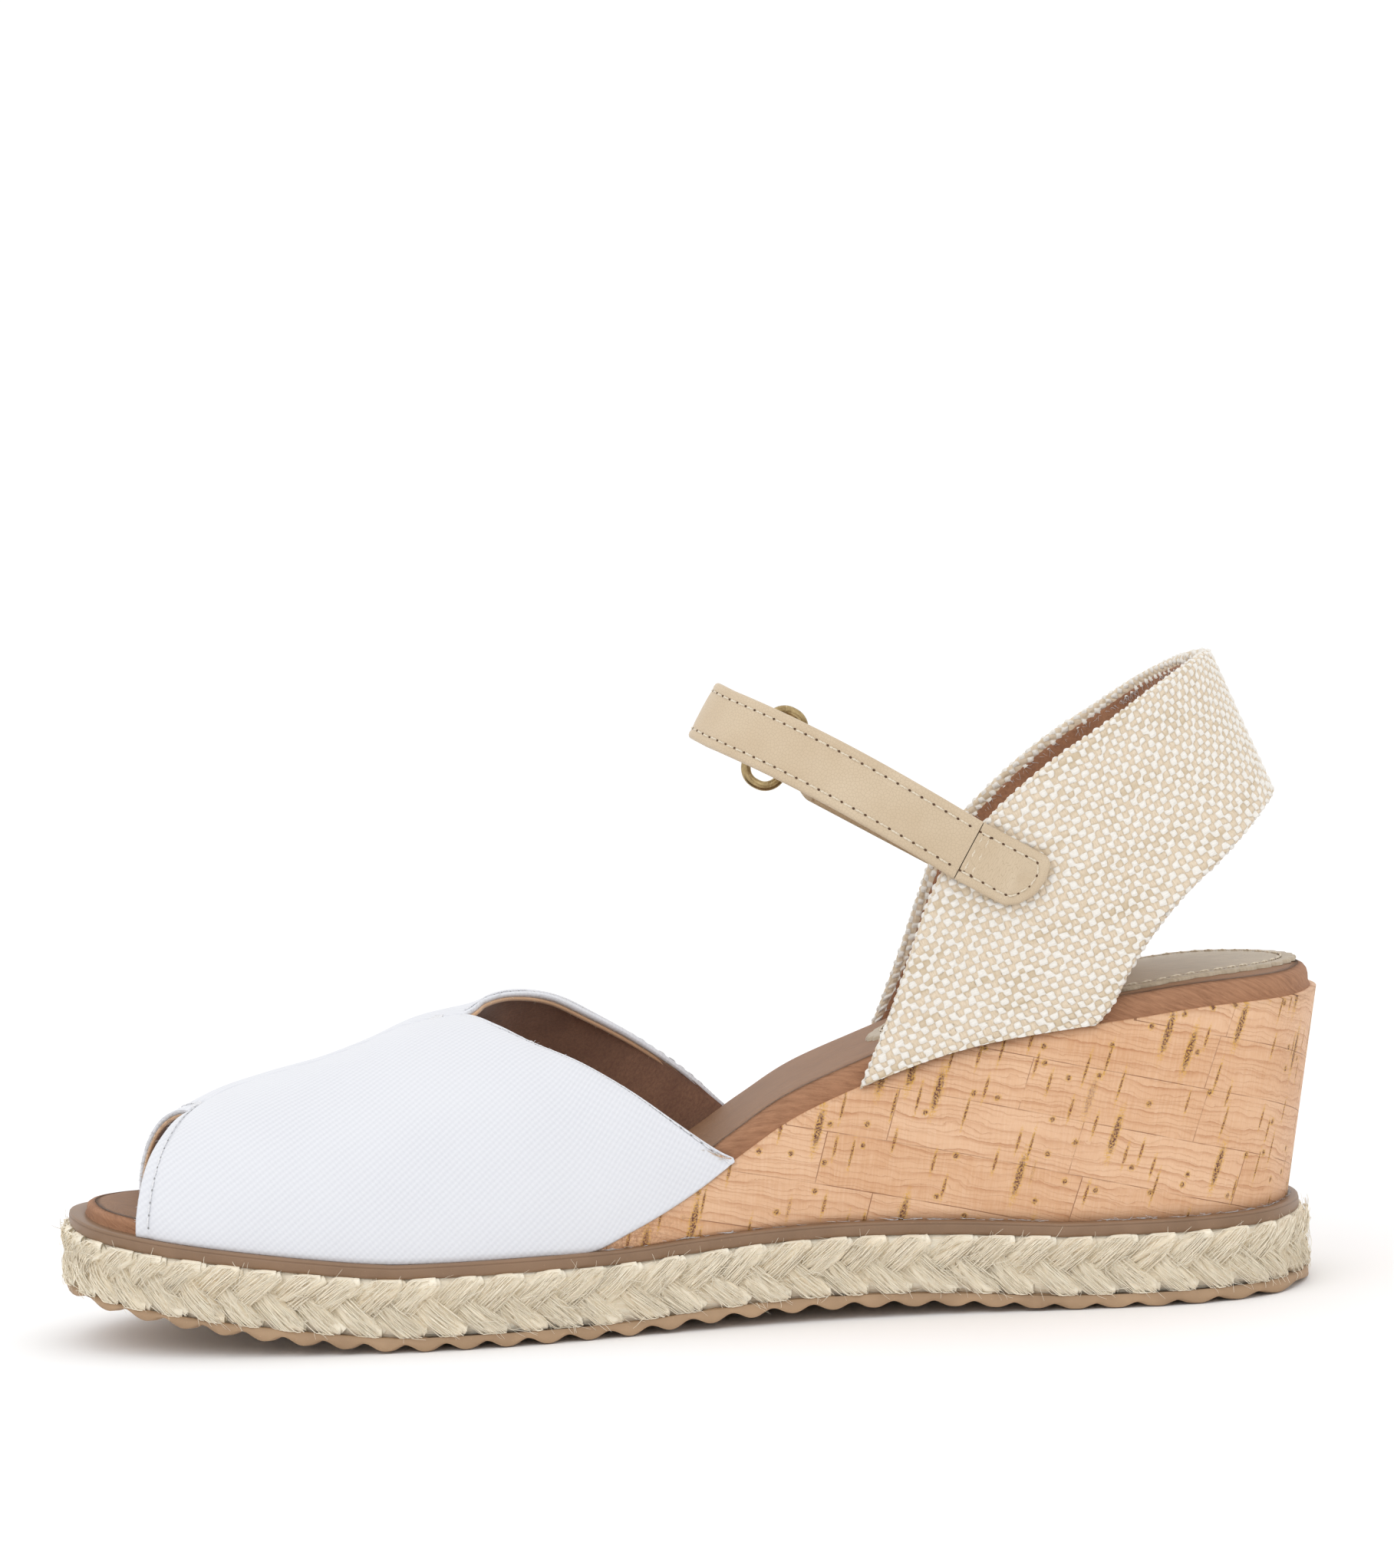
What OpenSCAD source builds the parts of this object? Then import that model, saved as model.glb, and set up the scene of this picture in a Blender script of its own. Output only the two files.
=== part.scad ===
// Women's espadrille wedge sandal for a right foot.
// Toe towards -X, heel towards +X, medial side towards -Y, ground at Z = 0.

/* [Sole] */
// Thickness of the rubber outsole under the jute band
outsole_t = 2.6; // [2.2:0.1:3.2]
// Height of the jute band, from the outsole to the welt
jute_h = 11.4; // [10:0.2:12]
// Thickness of the rubber welt strip on the jute band
welt_t = 2.8; // [2.2:0.1:3.2]
// Length of one tread bar and its groove
tread_pitch = 8; // [6:0.5:10]
// Depth of the grooves between the tread bars
tread_depth = 1.4; // [0.8:0.1:1.8]
// How much thinner the outsole is at its toe tip
toe_taper = 1.2; // [0:0.1:1.4]

/* [Wedge and footbed] */
// Thickness of the cork veneer round the wedge
cork_t = 1; // [0.8:0.1:1.4]
// How much wider the wedge is at its heel top than at the welt
wedge_flare = 0.08; // [0.04:0.01:0.1]
// Thickness of the fibre insole board
board_t = 1.8; // [1.4:0.1:2.2]
// Thickness of the leather that covers the footbed
cover_t = 0.9; // [0.6:0.1:1.2]
// Thickness of the heel pad
pad_t = 0.8; // [0.6:0.1:1.2]
// Width of the steel shank
shank_w = 12; // [10:1:14]
// Thickness of the steel shank
shank_t = 1.1; // [0.9:0.1:1.3]

/* [Upper] */
// Thickness of the twill of the vamp
twill_t = 1; // [0.8:0.1:1.2]
// Thickness of the suede lining of the vamp
vamp_lining_t = 0.9; // [0.6:0.1:1]
// Thickness of the linen of the back strap
linen_t = 1.2; // [1:0.1:1.4]
// Thickness of the foam inside the back strap
strap_foam_t = 1; // [0.6:0.1:1.2]
// Thickness of the lining of the back strap
strap_lining_t = 0.7; // [0.5:0.1:0.9]

/* [Ankle strap] */
// Width of the ankle strap and its tab
strap_w = 12.5; // [11.5:0.1:13]
// Thickness of the face of the strap
strap_face_t = 1.3; // [1.1:0.1:1.4]
// Thickness of the lining of the strap
strap_back_t = 0.8; // [0.6:0.1:0.9]
// Slope of the strap, down towards the heel
strap_slope = 31; // [29:0.5:32]
// Lean of the strap towards the lateral side
strap_lean = 4.5; // [4:0.5:5]
// Length of the oval ring, outside
ring_l = 18.3; // [17.5:0.1:19]
// Width of the oval ring, outside
ring_w = 9.8; // [9.4:0.1:10.2]
// Diameter of the ring's wire
wire_d = 2; // [1.8:0.1:2.1]
// Play between the ring's wire and the strap loop round it
loop_play = 0.1; // [0.05:0.01:0.12]
// Thickness of each half of the hook-and-loop fastener
patch_t = 0.9; // [0.7:0.1:1]

/* [Hidden] */
$fn = 32;

// ---- Curves ----

function blend4(a, b, c, d, t) = 0.5 * (2 * b + (c - a) * t
    + (2 * a - 5 * b + 4 * c - d) * t * t + (3 * b - a - 3 * c + d) * t * t * t);

function closed_curve(p, n) = let (m = len(p)) [for (i = [0 : m - 1], k = [0 : n - 1])
    blend4(p[(i + m - 1) % m], p[i], p[(i + 1) % m], p[(i + 2) % m], k / n)];

function open_curve(p, n) = let (m = len(p)) concat([for (i = [0 : m - 2], k = [0 : n - 1])
    blend4(p[max(i - 1, 0)], p[i], p[i + 1], p[min(i + 2, m - 1)], k / n)], [p[m - 1]]);

function reversed(p) = [for (i = [len(p) - 1 : -1 : 0]) p[i]];
function lerp(a, b, t) = a + (b - a) * t;
function unit(v) = v / norm(v);
function left_of(v) = [-v[1], v[0]];

// A closed outline moved inwards by d, or an open curve moved to its left by d
function inset(p, d) = let (m = len(p)) [for (i = [0 : m - 1])
    p[i] + d * left_of(unit(p[(i + 1) % m] - p[(i + m - 1) % m]))];
function beside(p, d) = let (m = len(p)) [for (i = [0 : m - 1])
    p[i] + d * left_of(unit(p[min(i + 1, m - 1)] - p[max(i - 1, 0)]))];

// ---- Plan and side view of the sole ----

// Outer edge of the jute band, from the toe along the medial side to the heel and back
sole_edge = closed_curve([[-127.1, -5], [-121.5, -22.5], [-107, -33.5], [-86, -40],
    [-60, -43], [-35, -41.8], [-8, -35.8], [20, -30.2], [48, -28.2], [75, -30],
    [100, -29.6], [117, -20.5], [123.7, 0], [117, 21.5], [100, 30.6], [75, 32.3], [48, 31.5],
    [20, 34], [-8, 39.6], [-35, 43.1], [-60, 41], [-86, 36], [-107, 27], [-121.5, 13]], 3);
half = len(sole_edge) / 2;

// Height of the underside: toe spring, flat tread, arch, flat heel
rise_curve = open_curve([[-128, 10], [-115, 7.4], [-98, 4.8], [-76, 2], [-61, 0.4],
    [-52, 0], [-15, 0], [1, 1], [17, 1.8], [33, 2], [52, 1.4], [69, 0.4], [80, 0],
    [128, 0]], 4);
function rise(x) = max(0, lookup(x, rise_curve));
platform_h = outsole_t + jute_h + welt_t;
function platform(x) = rise(x) + platform_h;

// Height of the cork wedge's top edge, which starts as a feather edge behind the ball
wedge_front = -19;
wedge_curve = open_curve([[-19, 16.8], [-9, 21], [1, 26.4], [11, 33], [22, 39.8],
    [35, 45.2], [48, 49.8], [60, 52.8], [75, 54.9], [90, 56.4], [105, 58], [128, 58.4]], 3);
wedge_h = 41.6;
wedge_tip = 0.4;
function wedge_top(x) = x < wedge_front ? platform(x) : lookup(x, wedge_curve);

// Footbed, thin at the toe and full behind the ball, measured square to its slope
function footbed_t(x) = lookup(x, [[-128, 2.6], [-90, 3.2], [-20, 5], [128, 5.2]]);
function footbed_top(x) = wedge_top(x)
    + footbed_t(x) * sqrt(1 + pow((wedge_top(x + 2) - wedge_top(x - 2)) / 4, 2));

// The wedge spreads towards its top, and most of all at the back of the heel
heel_overhang = 0.055;
function flared(p) = let (f = max(0, wedge_top(p[0]) - platform(p[0])) / wedge_h)
    [wedge_front + (p[0] - wedge_front) * (1 + heel_overhang * f), p[1] * (1 + wedge_flare * f)];
function top_edge(d) = [for (p = inset(sole_edge, d)) flared(p)];

// Insets from the jute edge to the other pieces
outsole_inset = 0.7;
welt_inset = 2;
wedge_inset = 4.2;
footbed_inset = 5.7;
vamp_inset = 3.2;
welt_inner = 9;
jute_inner = 4.4;

// ---- Solids ----

clear_h = 90;
clear_w = 110;
clear_t = 1;
function along(f) = [for (x = [-132 : 4 : 132]) [x, f(x)]];

// Slab that runs right across the sandal, between two side-view lines
module slab(low, high)
    rotate([90, 0, 0]) linear_extrude(clear_w, center = true) polygon(concat(low, reversed(high)));

module layer(edge, low, high)
    intersection() {
        linear_extrude(clear_h) polygon(edge);
        slab(along(low), along(high));
    }

// Two triangles for each cell of a grid of points
function cells(rows, columns, base, flip) = [for (i = [0 : rows - 2], j = [0 : columns - 2])
    let (a = base + i * columns + j, b = a + columns)
    each (flip ? [[a, b, b + 1], [a, b + 1, a + 1]] : [[a, b + 1, b], [a, a + 1, b + 1]])];

// Closed sheet between two grids of the same size
module sheet(outer, inner) {
    n = len(outer);
    m = len(outer[0]);
    back = n * m;
    points = concat([for (row = outer) each row], [for (row = inner) each row]);
    rim = concat([for (j = [0 : m - 1]) j], [for (i = [1 : n - 1]) i * m + m - 1],
        [for (j = [m - 2 : -1 : 0]) (n - 1) * m + j], [for (i = [n - 2 : -1 : 1]) i * m]);
    polyhedron(points, concat(cells(n, m, 0, false), cells(n, m, back, true),
        [for (k = [0 : len(rim) - 1]) let (a = rim[k], b = rim[(k + 1) % len(rim)])
            each [[a, a + back, b + back], [a, b + back, b]]]));
}

// Band that follows the whole sole edge; section is a list of [inset, height over the rise]
module sole_band(section) {
    rings = [for (s = section) [for (p = inset(sole_edge, s[0])) [p[0], p[1], rise(p[0]) + s[1]]]];
    n = len(sole_edge);
    m = len(section);
    polyhedron([for (ring = rings) each ring],
        [for (j = [0 : m - 1], i = [0 : n - 1])
            let (k = (i + 1) % n, l = (j + 1) % m)
            each [[j * n + i, l * n + k, j * n + k], [j * n + i, l * n + i, l * n + k]]]);
}

// Surface normal of a grid, pointing out of the foot
function at(g, i, j) = g[max(0, min(len(g) - 1, i))][max(0, min(len(g[0]) - 1, j))];
function grid_normal(g, i, j) = unit(cross(at(g, i + 1, j) - at(g, i - 1, j),
    at(g, i, j + 1) - at(g, i, j - 1)));
function offset_grid(g, d) = [for (i = [0 : len(g) - 1]) [for (j = [0 : len(g[0]) - 1])
    g[i][j] + d(i, j) * grid_normal(g, i, j)]];

// Square thread that follows a row of points
module thread(path, size) {
    n = len(path);
    h = size / 2;
    ring = [for (i = [0 : n - 1]) let (
        t = unit(path[min(i + 1, n - 1)] - path[max(i - 1, 0)]),
        s = unit(cross(t, [0.1, 0.2, 1])), u = cross(t, s))
        each [path[i] + h * s, path[i] + h * u, path[i] - h * s, path[i] - h * u]];
    polyhedron(ring, concat([[0, 1, 2, 3], [for (k = [3 : -1 : 0]) 4 * (n - 1) + k]],
        [for (i = [0 : n - 2], k = [0 : 3]) let (a = 4 * i + k, b = 4 * i + (k + 1) % 4)
            each [[a, a + 4, b + 4], [a, b + 4, b]]]));
}

// ---- Sole ----

// Tread: flat bars across the sole, with sloped grooves between them
bar_shape = [[0, 1], [1.1, 0.25], [2.6, 0], [5.4, 0], [6.9, 0.25]];
function thinned(x) = lookup(x, [[-124, toe_taper], [-80, 0]]);
tread = [for (k = [-17 : 16], b = bar_shape)
    let (x = (k + b[0] / 8) * tread_pitch, bar = (x + (k + 0.5) * tread_pitch) / 2)
    [x, rise(bar) + thinned(bar) + b[1] * tread_depth]];

module outsole()
    color([0.6, 0.44, 0.31])
    intersection() {
        linear_extrude(clear_h) polygon(inset(sole_edge, outsole_inset));
        slab(tread, along(function (x) rise(x) + outsole_t));
    }

module jute_braid()
    color([0.84, 0.76, 0.6])
    sole_band([[1.5, outsole_t], [0.3, outsole_t + 2], [0, outsole_t + jute_h / 2],
        [0.3, outsole_t + jute_h - 2], [1.5, outsole_t + jute_h],
        [jute_inner, outsole_t + jute_h], [jute_inner, outsole_t]]);

module midsole()
    color([0.3, 0.27, 0.25])
    union() {
        layer(inset(sole_edge, jute_inner + 0.1), function (x) rise(x) + outsole_t,
            function (x) rise(x) + outsole_t + jute_h);
        layer(inset(sole_edge, welt_inner + 0.1), function (x) rise(x) + outsole_t,
            function (x) platform(x));
    }

module welt()
    color([0.45, 0.31, 0.21])
    sole_band([[welt_inset + 0.5, platform_h - welt_t], [welt_inset, platform_h - welt_t + 0.6],
        [welt_inset, platform_h - 0.5], [welt_inset + 0.5, platform_h],
        [welt_inner, platform_h], [welt_inner, platform_h - welt_t]]);

// ---- Wedge ----

// Pairs of edge points, medial and lateral, from the wedge's front to its heel
first_pair = [for (i = [0 : half - 1]) if (sole_edge[i][0] > wedge_front) i][0];
function pairs(d) = let (e = inset(sole_edge, d), n = len(e))
    [for (i = [first_pair : half - 1]) [e[i], e[n - i]]];
glue_gap = 0.15;
side_gap = 0.05;
function wedge_strip(edge_pairs, top, across) = [for (q = edge_pairs) [for (k = [0 : across])
    let (p = q[0] + (q[1] - q[0]) * k / across, g = top ? flared(p) : p, low = platform(p[0]),
        z = top ? max(wedge_top(p[0]) - glue_gap, low + wedge_tip) : low + glue_gap)
    [g[0], g[1], z]]];

module wedge_core()
    color([0.82, 0.78, 0.7])
    let (d = wedge_inset + cork_t + side_gap)
        sheet(wedge_strip(pairs(d), true, 3), wedge_strip(pairs(d), false, 3));

// Veneer: an open ribbon from the medial feather edge round the heel to the lateral one
function wedge_wall(d) = let (e = inset(sole_edge, d), n = len(e))
    [for (i = [first_pair : n - first_pair]) let (p = e[i], g = flared(p),
        z = max(wedge_top(p[0]), platform(p[0]) + wedge_tip))
        [[p[0], p[1], platform(p[0])], [g[0], g[1], z]]];

module cork_wrap()
    color([0.87, 0.65, 0.43])
    sheet(wedge_wall(wedge_inset), wedge_wall(wedge_inset + cork_t));

// ---- Footbed ----

shank_x = [4, 78];
shank_y = 1;
module shank_bar(play)
    intersection() {
        translate([shank_x[0] - play, shank_y - shank_w / 2 - play, 0])
            cube([shank_x[1] - shank_x[0] + 2 * play, shank_w + 2 * play, clear_h]);
        slab(along(function (x) wedge_top(x)), along(function (x) wedge_top(x) + shank_t + play));
    }

module shank()
    color([0.6, 0.61, 0.63])
    shank_bar(0);

module insole_board()
    color([0.66, 0.55, 0.42])
    difference() {
        layer(top_edge(footbed_inset + cover_t), function (x) wedge_top(x),
            function (x) wedge_top(x) + board_t);
        shank_bar(0.15);
    }

function cover_under(x) = max(footbed_top(x) - cover_t * 1.1, wedge_top(x) + board_t + 0.1);

module footbed_foam()
    color([0.9, 0.87, 0.8])
    layer(top_edge(footbed_inset + cover_t), function (x) wedge_top(x) + board_t,
        function (x) cover_under(x));

module footbed_cover()
    color([0.56, 0.37, 0.25])
    difference() {
        layer(top_edge(footbed_inset), function (x) wedge_top(x), function (x) footbed_top(x));
        layer(top_edge(footbed_inset + cover_t), function (x) wedge_top(x) - clear_t,
            function (x) cover_under(x));
    }

// Heel pad: a long oval with a pinked edge
pad_mid = [80, 1.4];
pad_half = [43.5, 25.5];
pinks = 46;
function pad_edge(grow, depth) = [for (k = [0 : pinks * 2 - 1]) let (
    a = 180 * k / pinks,
    r = grow - (k % 2) * depth,
    narrow = 1 - 0.12 * (1 - cos(a)) / 2)
    [pad_mid[0] + (pad_half[0] + r) * cos(a), pad_mid[1] + (pad_half[1] + r) * narrow * sin(a)]];

pink_depth = 0.9;
module heel_pad()
    color([0.7, 0.62, 0.48])
    layer(pad_edge(0, pink_depth), function (x) footbed_top(x),
        function (x) footbed_top(x) + pad_t);

pad_stitch_inset = 2.8;
pad_thread = 0.6;
module heel_pad_stitching()
    color([0.82, 0.76, 0.62])
    difference() {
        layer(pad_edge(-pad_stitch_inset, 0), function (x) footbed_top(x) + pad_t,
            function (x) footbed_top(x) + pad_t + pad_thread / 2);
        layer(pad_edge(-pad_stitch_inset - pad_thread, 0),
            function (x) footbed_top(x) + pad_t - clear_t,
            function (x) footbed_top(x) + pad_t + clear_t);
    }

// ---- Vamp ----

// Where the vamp meets the sole, as [x, y] lines along each side
function side_line(medial) = let (e = top_edge(vamp_inset), n = len(e))
    medial ? [for (i = [0 : half]) e[i]] : [e[0], each [for (i = [1 : half]) e[n - i]]];
function foot_point(x, medial) = [x, lookup(x, side_line(medial)), wedge_top(x) + 0.15];

// The centre seam, from the peep to the throat
seam = [[-100.7, 0.5, 44], [-92.6, 0.5, 48.1], [-83.5, 0.5, 50.7], [-74.2, 0.5, 53.1],
    [-64.8, 0.5, 56.2], [-55.7, 0.5, 59.4], [-44.6, 0.5, 60.9]];
function seam_columns(feet) = [for (i = [0 : len(seam) - 1]) [feet[i], seam[i]]];

// Each column: x on the sole edge, then its top point on the peep, seam or throat edge
medial_columns = concat(seam_columns([-109, -100, -87, -73, -60, -48, -37]),
    [[-28, [-36.7, -8, 59.4]], [-19, [-28.7, -15, 56.3]], [-11, [-19.7, -20.3, 52.6]],
    [-4, [-10.7, -24.3, 47.4]], [2.5, [-2.2, -27.4, 41.3]], [7.8, [5.6, -29, 35.6]],
    [9.9, [9.5, -29.4, 33.4]]]);
lateral_columns = concat(seam_columns([-114, -104, -90, -75.5, -62, -49, -38]),
    [[-31, [-40, 6.5, 63]], [-25, [-34.6, 13.5, 63.2]], [-18, [-27.6, 20.3, 61.2]],
    [-11, [-20.4, 25.3, 56.8]], [-3.5, [-11.4, 29.6, 50.7]], [3, [-2.6, 32.1, 43.7]],
    [7.8, [5.8, 33.2, 35.9]], [9.9, [9.5, 33.5, 33.4]]]);

// The lateral half stands a little above the seam where the seam meets the throat
lateral_crown = [[-70, 0], [-45, 2.2], [-34, 0.6], [-22, 0]];

// A column rises steeply from the sole, keeps its place along the foot, and then curves over it
function vamp_point(column, medial, a) = let (foot = foot_point(column[0], medial), top = column[1],
    out = pow(cos(90 * a), 0.86), up = pow(sin(90 * a), 0.84), along = pow(a, medial ? 1.4 : 1.6),
    crown = medial ? 0 : lookup(top[0], lateral_crown) * sin(180 * pow(a, 3)))
    [lerp(foot[0], top[0], along), lerp(top[1], foot[1], out), lerp(foot[2], top[2], up) + crown];
vamp_rows = 10;
throat_start = 3 * (len(seam) - 1);
function own_side(p, medial) = [p[0], medial ? min(p[1], seam[0][1]) : max(p[1], seam[0][1]), p[2]];
function vamp_grid(medial) = let (columns = medial ? medial_columns : lateral_columns,
    bare = [for (c = columns) [for (j = [0 : vamp_rows]) vamp_point(c, medial, j / vamp_rows)]],
    m = len(bare))
    [for (i = [0 : m - 2], k = [0 : 2]) [for (j = [0 : vamp_rows]) own_side(
        blend4(bare[max(i - 1, 0)][j], bare[i][j], bare[i + 1][j], bare[min(i + 2, m - 1)][j], k / 3),
        medial)], bare[m - 1]];

medial_grid = vamp_grid(true);
lateral_grid = vamp_grid(false);

// Direction into the foot; along the centre seam it is level, so that the halves meet face to face
function vamp_inward(g, i, j, side) = let (t = g[min(i + 1, throat_start)][j] - at(g, i - 1, j))
    j == vamp_rows && i <= throat_start ? unit([t[2], 0, -t[0]]) : side * grid_normal(g, i, j);

// The vamp d inside its outer surface; it thins towards the corner where throat and sole meet
function vamp_inside(medial, d) = let (g = medial ? medial_grid : lateral_grid, m = len(g) - 1,
    side = medial ? -1 : 1)
    [for (i = [0 : m]) [for (j = [0 : vamp_rows])
        g[i][j] + d * min(1, 0.25 + 0.15 * (m - i)) * vamp_inward(g, i, j, side)]];

module vamp_half(medial, from, to)
    if (medial) sheet(vamp_inside(true, from), vamp_inside(true, to));
    else sheet(vamp_inside(false, to), vamp_inside(false, from));

module vamp_medial()
    color([0.95, 0.95, 0.95])
    vamp_half(true, 0, twill_t);

module vamp_lateral()
    color([0.95, 0.95, 0.95])
    vamp_half(false, 0, twill_t);

module vamp_lining_medial()
    color([0.36, 0.22, 0.15])
    vamp_half(true, twill_t, twill_t + vamp_lining_t);

module vamp_lining_lateral()
    color([0.36, 0.22, 0.15])
    vamp_half(false, twill_t, twill_t + vamp_lining_t);

// A row of stitches inside an edge: the last row of the throat, the first column of the peep
vamp_thread = 0.5;
thread_lift = 0.45;
throat_stitch_inset = 3;
function throat_row(g, side) = [for (i = [throat_start : len(g) - 4])
    let (edge = g[i][vamp_rows], next = g[i][vamp_rows - 1])
    lerp(edge, next, min(0.9, throat_stitch_inset / norm(edge - next)))
        + side * thread_lift * grid_normal(g, i, vamp_rows - 1)];
function peep_row(g, side) = [for (j = [1 : vamp_rows - 1])
    lerp(g[0][j], g[1][j], 0.8) + side * thread_lift * grid_normal(g, 1, j)];

module vamp_stitching()
    color([0.9, 0.9, 0.88]) {
        thread(throat_row(medial_grid, 1), vamp_thread);
        thread(throat_row(lateral_grid, -1), vamp_thread);
        thread(peep_row(medial_grid, 1), vamp_thread);
        thread(peep_row(lateral_grid, -1), vamp_thread);
    }

// Short bars of dense stitches that lock both ends of the centre seam
module bartack(p, slope)
    color([0.93, 0.93, 0.92])
    translate(p) rotate([0, -slope, 0]) translate([0, -3, 0]) cube([1.8, 6, 0.7]);

module peep_bartack() bartack([-98.4, 0.5, 45.9], 26);
module throat_bartack() bartack([-48.2, 0.5, 61.3], 8);

// ---- Back strap ----

// Stations from the medial base round the heel to the lateral base: front edge, rear edge
strap_stations = [
    [[35.2, -27.3, 45.4], [82, -29, 55.9]],
    [[43.7, -27.8, 68.3], [85, -29.1, 60.9]],
    [[53, -27.7, 85.6], [88.8, -29.1, 66.6]],
    [[63.3, -27.4, 97], [93.8, -28.6, 73.6]],
    [[75.3, -27, 106.8], [100.8, -27.2, 81.2]],
    [[87.4, -25.4, 114.3], [108.3, -23.9, 87.3]],
    [[97.3, -21, 120.5], [114.8, -17.6, 93]],
    [[105.3, -12, 124.8], [118.9, -9.3, 96.6]],
    [[109.2, 0, 126.3], [120.6, 0, 97.9]],
    [[105.3, 12.4, 125], [118.9, 9.7, 96.8]],
    [[97.3, 21.4, 121], [114.8, 18, 93.3]],
    [[87.4, 25.9, 115], [108.3, 24.4, 87.6]],
    [[75.3, 27.6, 107.6], [100.8, 27.9, 81.5]],
    [[63.3, 28.6, 97.8], [93.8, 29.2, 73.8]],
    [[53, 29.4, 86.2], [88.8, 30, 66.8]],
    [[43.7, 30.2, 68.6], [85, 30.6, 60.9]],
    [[35.2, 30.6, 45.4], [82, 30.8, 55.9]]];
strap_rows = 6;
base_stations = 2;

// At the base the band's lower end follows the wedge's top edge
function base_drop(k, p) = let (s = min(k, len(strap_stations) - 1 - k), t = max(0, 1 - s / base_stations))
    t * t * (wedge_top(p[0]) + 0.2 - p[2]);
strap_bare = [for (k = [0 : len(strap_stations) - 1]) let (s = strap_stations[k])
    [for (j = [0 : strap_rows]) let (p = lerp(s[1], s[0], j / strap_rows))
        p + [0, 0, base_drop(k, p)]]];
strap_grid = let (m = len(strap_bare)) [for (i = [0 : m - 2], k = [0 : 2])
    [for (j = [0 : strap_rows]) blend4(strap_bare[max(i - 1, 0)][j], strap_bare[i][j],
        strap_bare[i + 1][j], strap_bare[min(i + 2, m - 1)][j], k / 3)], strap_bare[m - 1]];

// The band is thin where it is tucked in at its two ends
function strap_inside(d) = let (m = len(strap_grid) - 1)
    [for (i = [0 : m]) [for (j = [0 : strap_rows])
        strap_grid[i][j] - d * min(1, 0.5 + 0.1 * min(i, m - i)) * grid_normal(strap_grid, i, j)]];

module strap_layer(from, to)
    sheet(strap_inside(from), strap_inside(to));

module back_strap()
    color([0.88, 0.83, 0.75])
    strap_layer(0, linen_t);

module back_strap_foam()
    color([0.93, 0.91, 0.86])
    strap_layer(linen_t, linen_t + strap_foam_t);

module back_strap_lining()
    color([0.58, 0.36, 0.23])
    strap_layer(linen_t + strap_foam_t, linen_t + strap_foam_t + strap_lining_t);

// ---- Ankle strap ----

// Centre of the hinge line, where the strap is sewn to the medial side of the back strap
hinge = [58.5, -29.2, 91.6];
module strap_frame()
    translate(hinge) rotate([0, strap_slope, 0]) rotate([-strap_lean, 0, 0]) children();

half_t = (strap_face_t + strap_back_t) / 2;
bar_r = wire_d / 2;
loop_r = bar_r + loop_play;
loop_wall = 1.2;
loop_w = 9.6;

// Route of the strap from the hinge round the ankle to the ring, then of the tab
front_bar = [-45.3, 45.5];
bar_gap = ring_w - wire_d;
ring_angle = 14;
rear_bar = front_bar + bar_gap * [cos(ring_angle), sin(ring_angle)];
strap_route = open_curve([[0, 0], [-14, 1.3], [-28, 5.2], [-42, 12.8], [-51.7, 21.5],
    [-57.3, 31.5], [-55, 40.4], [-50.2, 43.9], front_bar], 5);
tab_route = open_curve([rear_bar, [-30, 50.4], [-18, 55.5], [-6, 59.8], [6, 62.9],
    [18, 64.8]], 4);

module ribbon(route, low, high, width)
    linear_extrude(width, center = true)
        polygon(concat(beside(route, low), reversed(beside(route, high))));

module eye(centre)
    translate([centre[0], centre[1], -loop_w / 2]) cylinder(h = loop_w, r = loop_r + loop_wall);
module eye_bore(centre)
    translate([centre[0], centre[1], -20]) cylinder(h = 40, r = loop_r);

// Part of a route, from one share of its points to another
function stretch(route, a, b) = let (m = len(route) - 1)
    [for (i = [round(a * m) : round(b * m)]) route[i]];

module ankle_strap()
    color([0.83, 0.73, 0.56])
    strap_frame()
    difference() {
        union() {
            ribbon(stretch(strap_route, 0, 0.94), half_t - strap_face_t, half_t, strap_w);
            ribbon(stretch(strap_route, 0.9, 1), half_t - strap_face_t, half_t, loop_w);
            eye(front_bar);
        }
        eye_bore(front_bar);
    }

module ankle_strap_lining()
    color([0.74, 0.64, 0.5])
    strap_frame()
    ribbon(stretch(strap_route, 0, 0.9), -half_t, half_t - strap_face_t, strap_w - 0.4);

stitch_inset = 2;
stitch_h = 0.3;
module stitch_rows(route, gap)
    for (side = [-1, 1])
        translate([0, 0, side * (strap_w / 2 - stitch_inset)])
            ribbon(route, gap, gap + stitch_h, 0.6);

module ankle_strap_stitching()
    color([0.9, 0.85, 0.74])
    strap_frame()
    stitch_rows(stretch(strap_route, 0.03, 0.9), half_t);

hinge_gap = 0.4;
anchor_gap = 0.25;

// The sewn-down end, with a slanted and rounded tip, as [along, across] points
anchor_edge = [[hinge_gap, strap_w / 2], [14.4, strap_w / 2], [15.8, 5.2], [16.4, 2], [15.9, -1.5],
    [13.9, -4.6], [11.4, -strap_w / 2], [hinge_gap, -strap_w / 2]];
module plate(edge, low, high)
    translate([0, low, 0]) rotate([90, 0, 0]) translate([0, 0, low - high])
        linear_extrude(high - low) polygon(edge);

module strap_anchor()
    color([0.83, 0.73, 0.56])
    strap_frame()
    plate(anchor_edge, -half_t, half_t - anchor_gap);

box_edge = [[2, 4.3], [13.6, 4.3], [14.3, 1.9], [13.9, -1], [12.3, -3.4], [10.8, -4.3], [2, -4.3]];
module anchor_stitching()
    color([0.9, 0.85, 0.74])
    strap_frame()
    difference() {
        plate(box_edge, -half_t - stitch_h, -half_t);
        plate([for (p = box_edge) [7.6 + (p[0] - 7.6) * 0.9, p[1] * 0.86]],
            -half_t - 1, -half_t + 1);
    }

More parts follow.
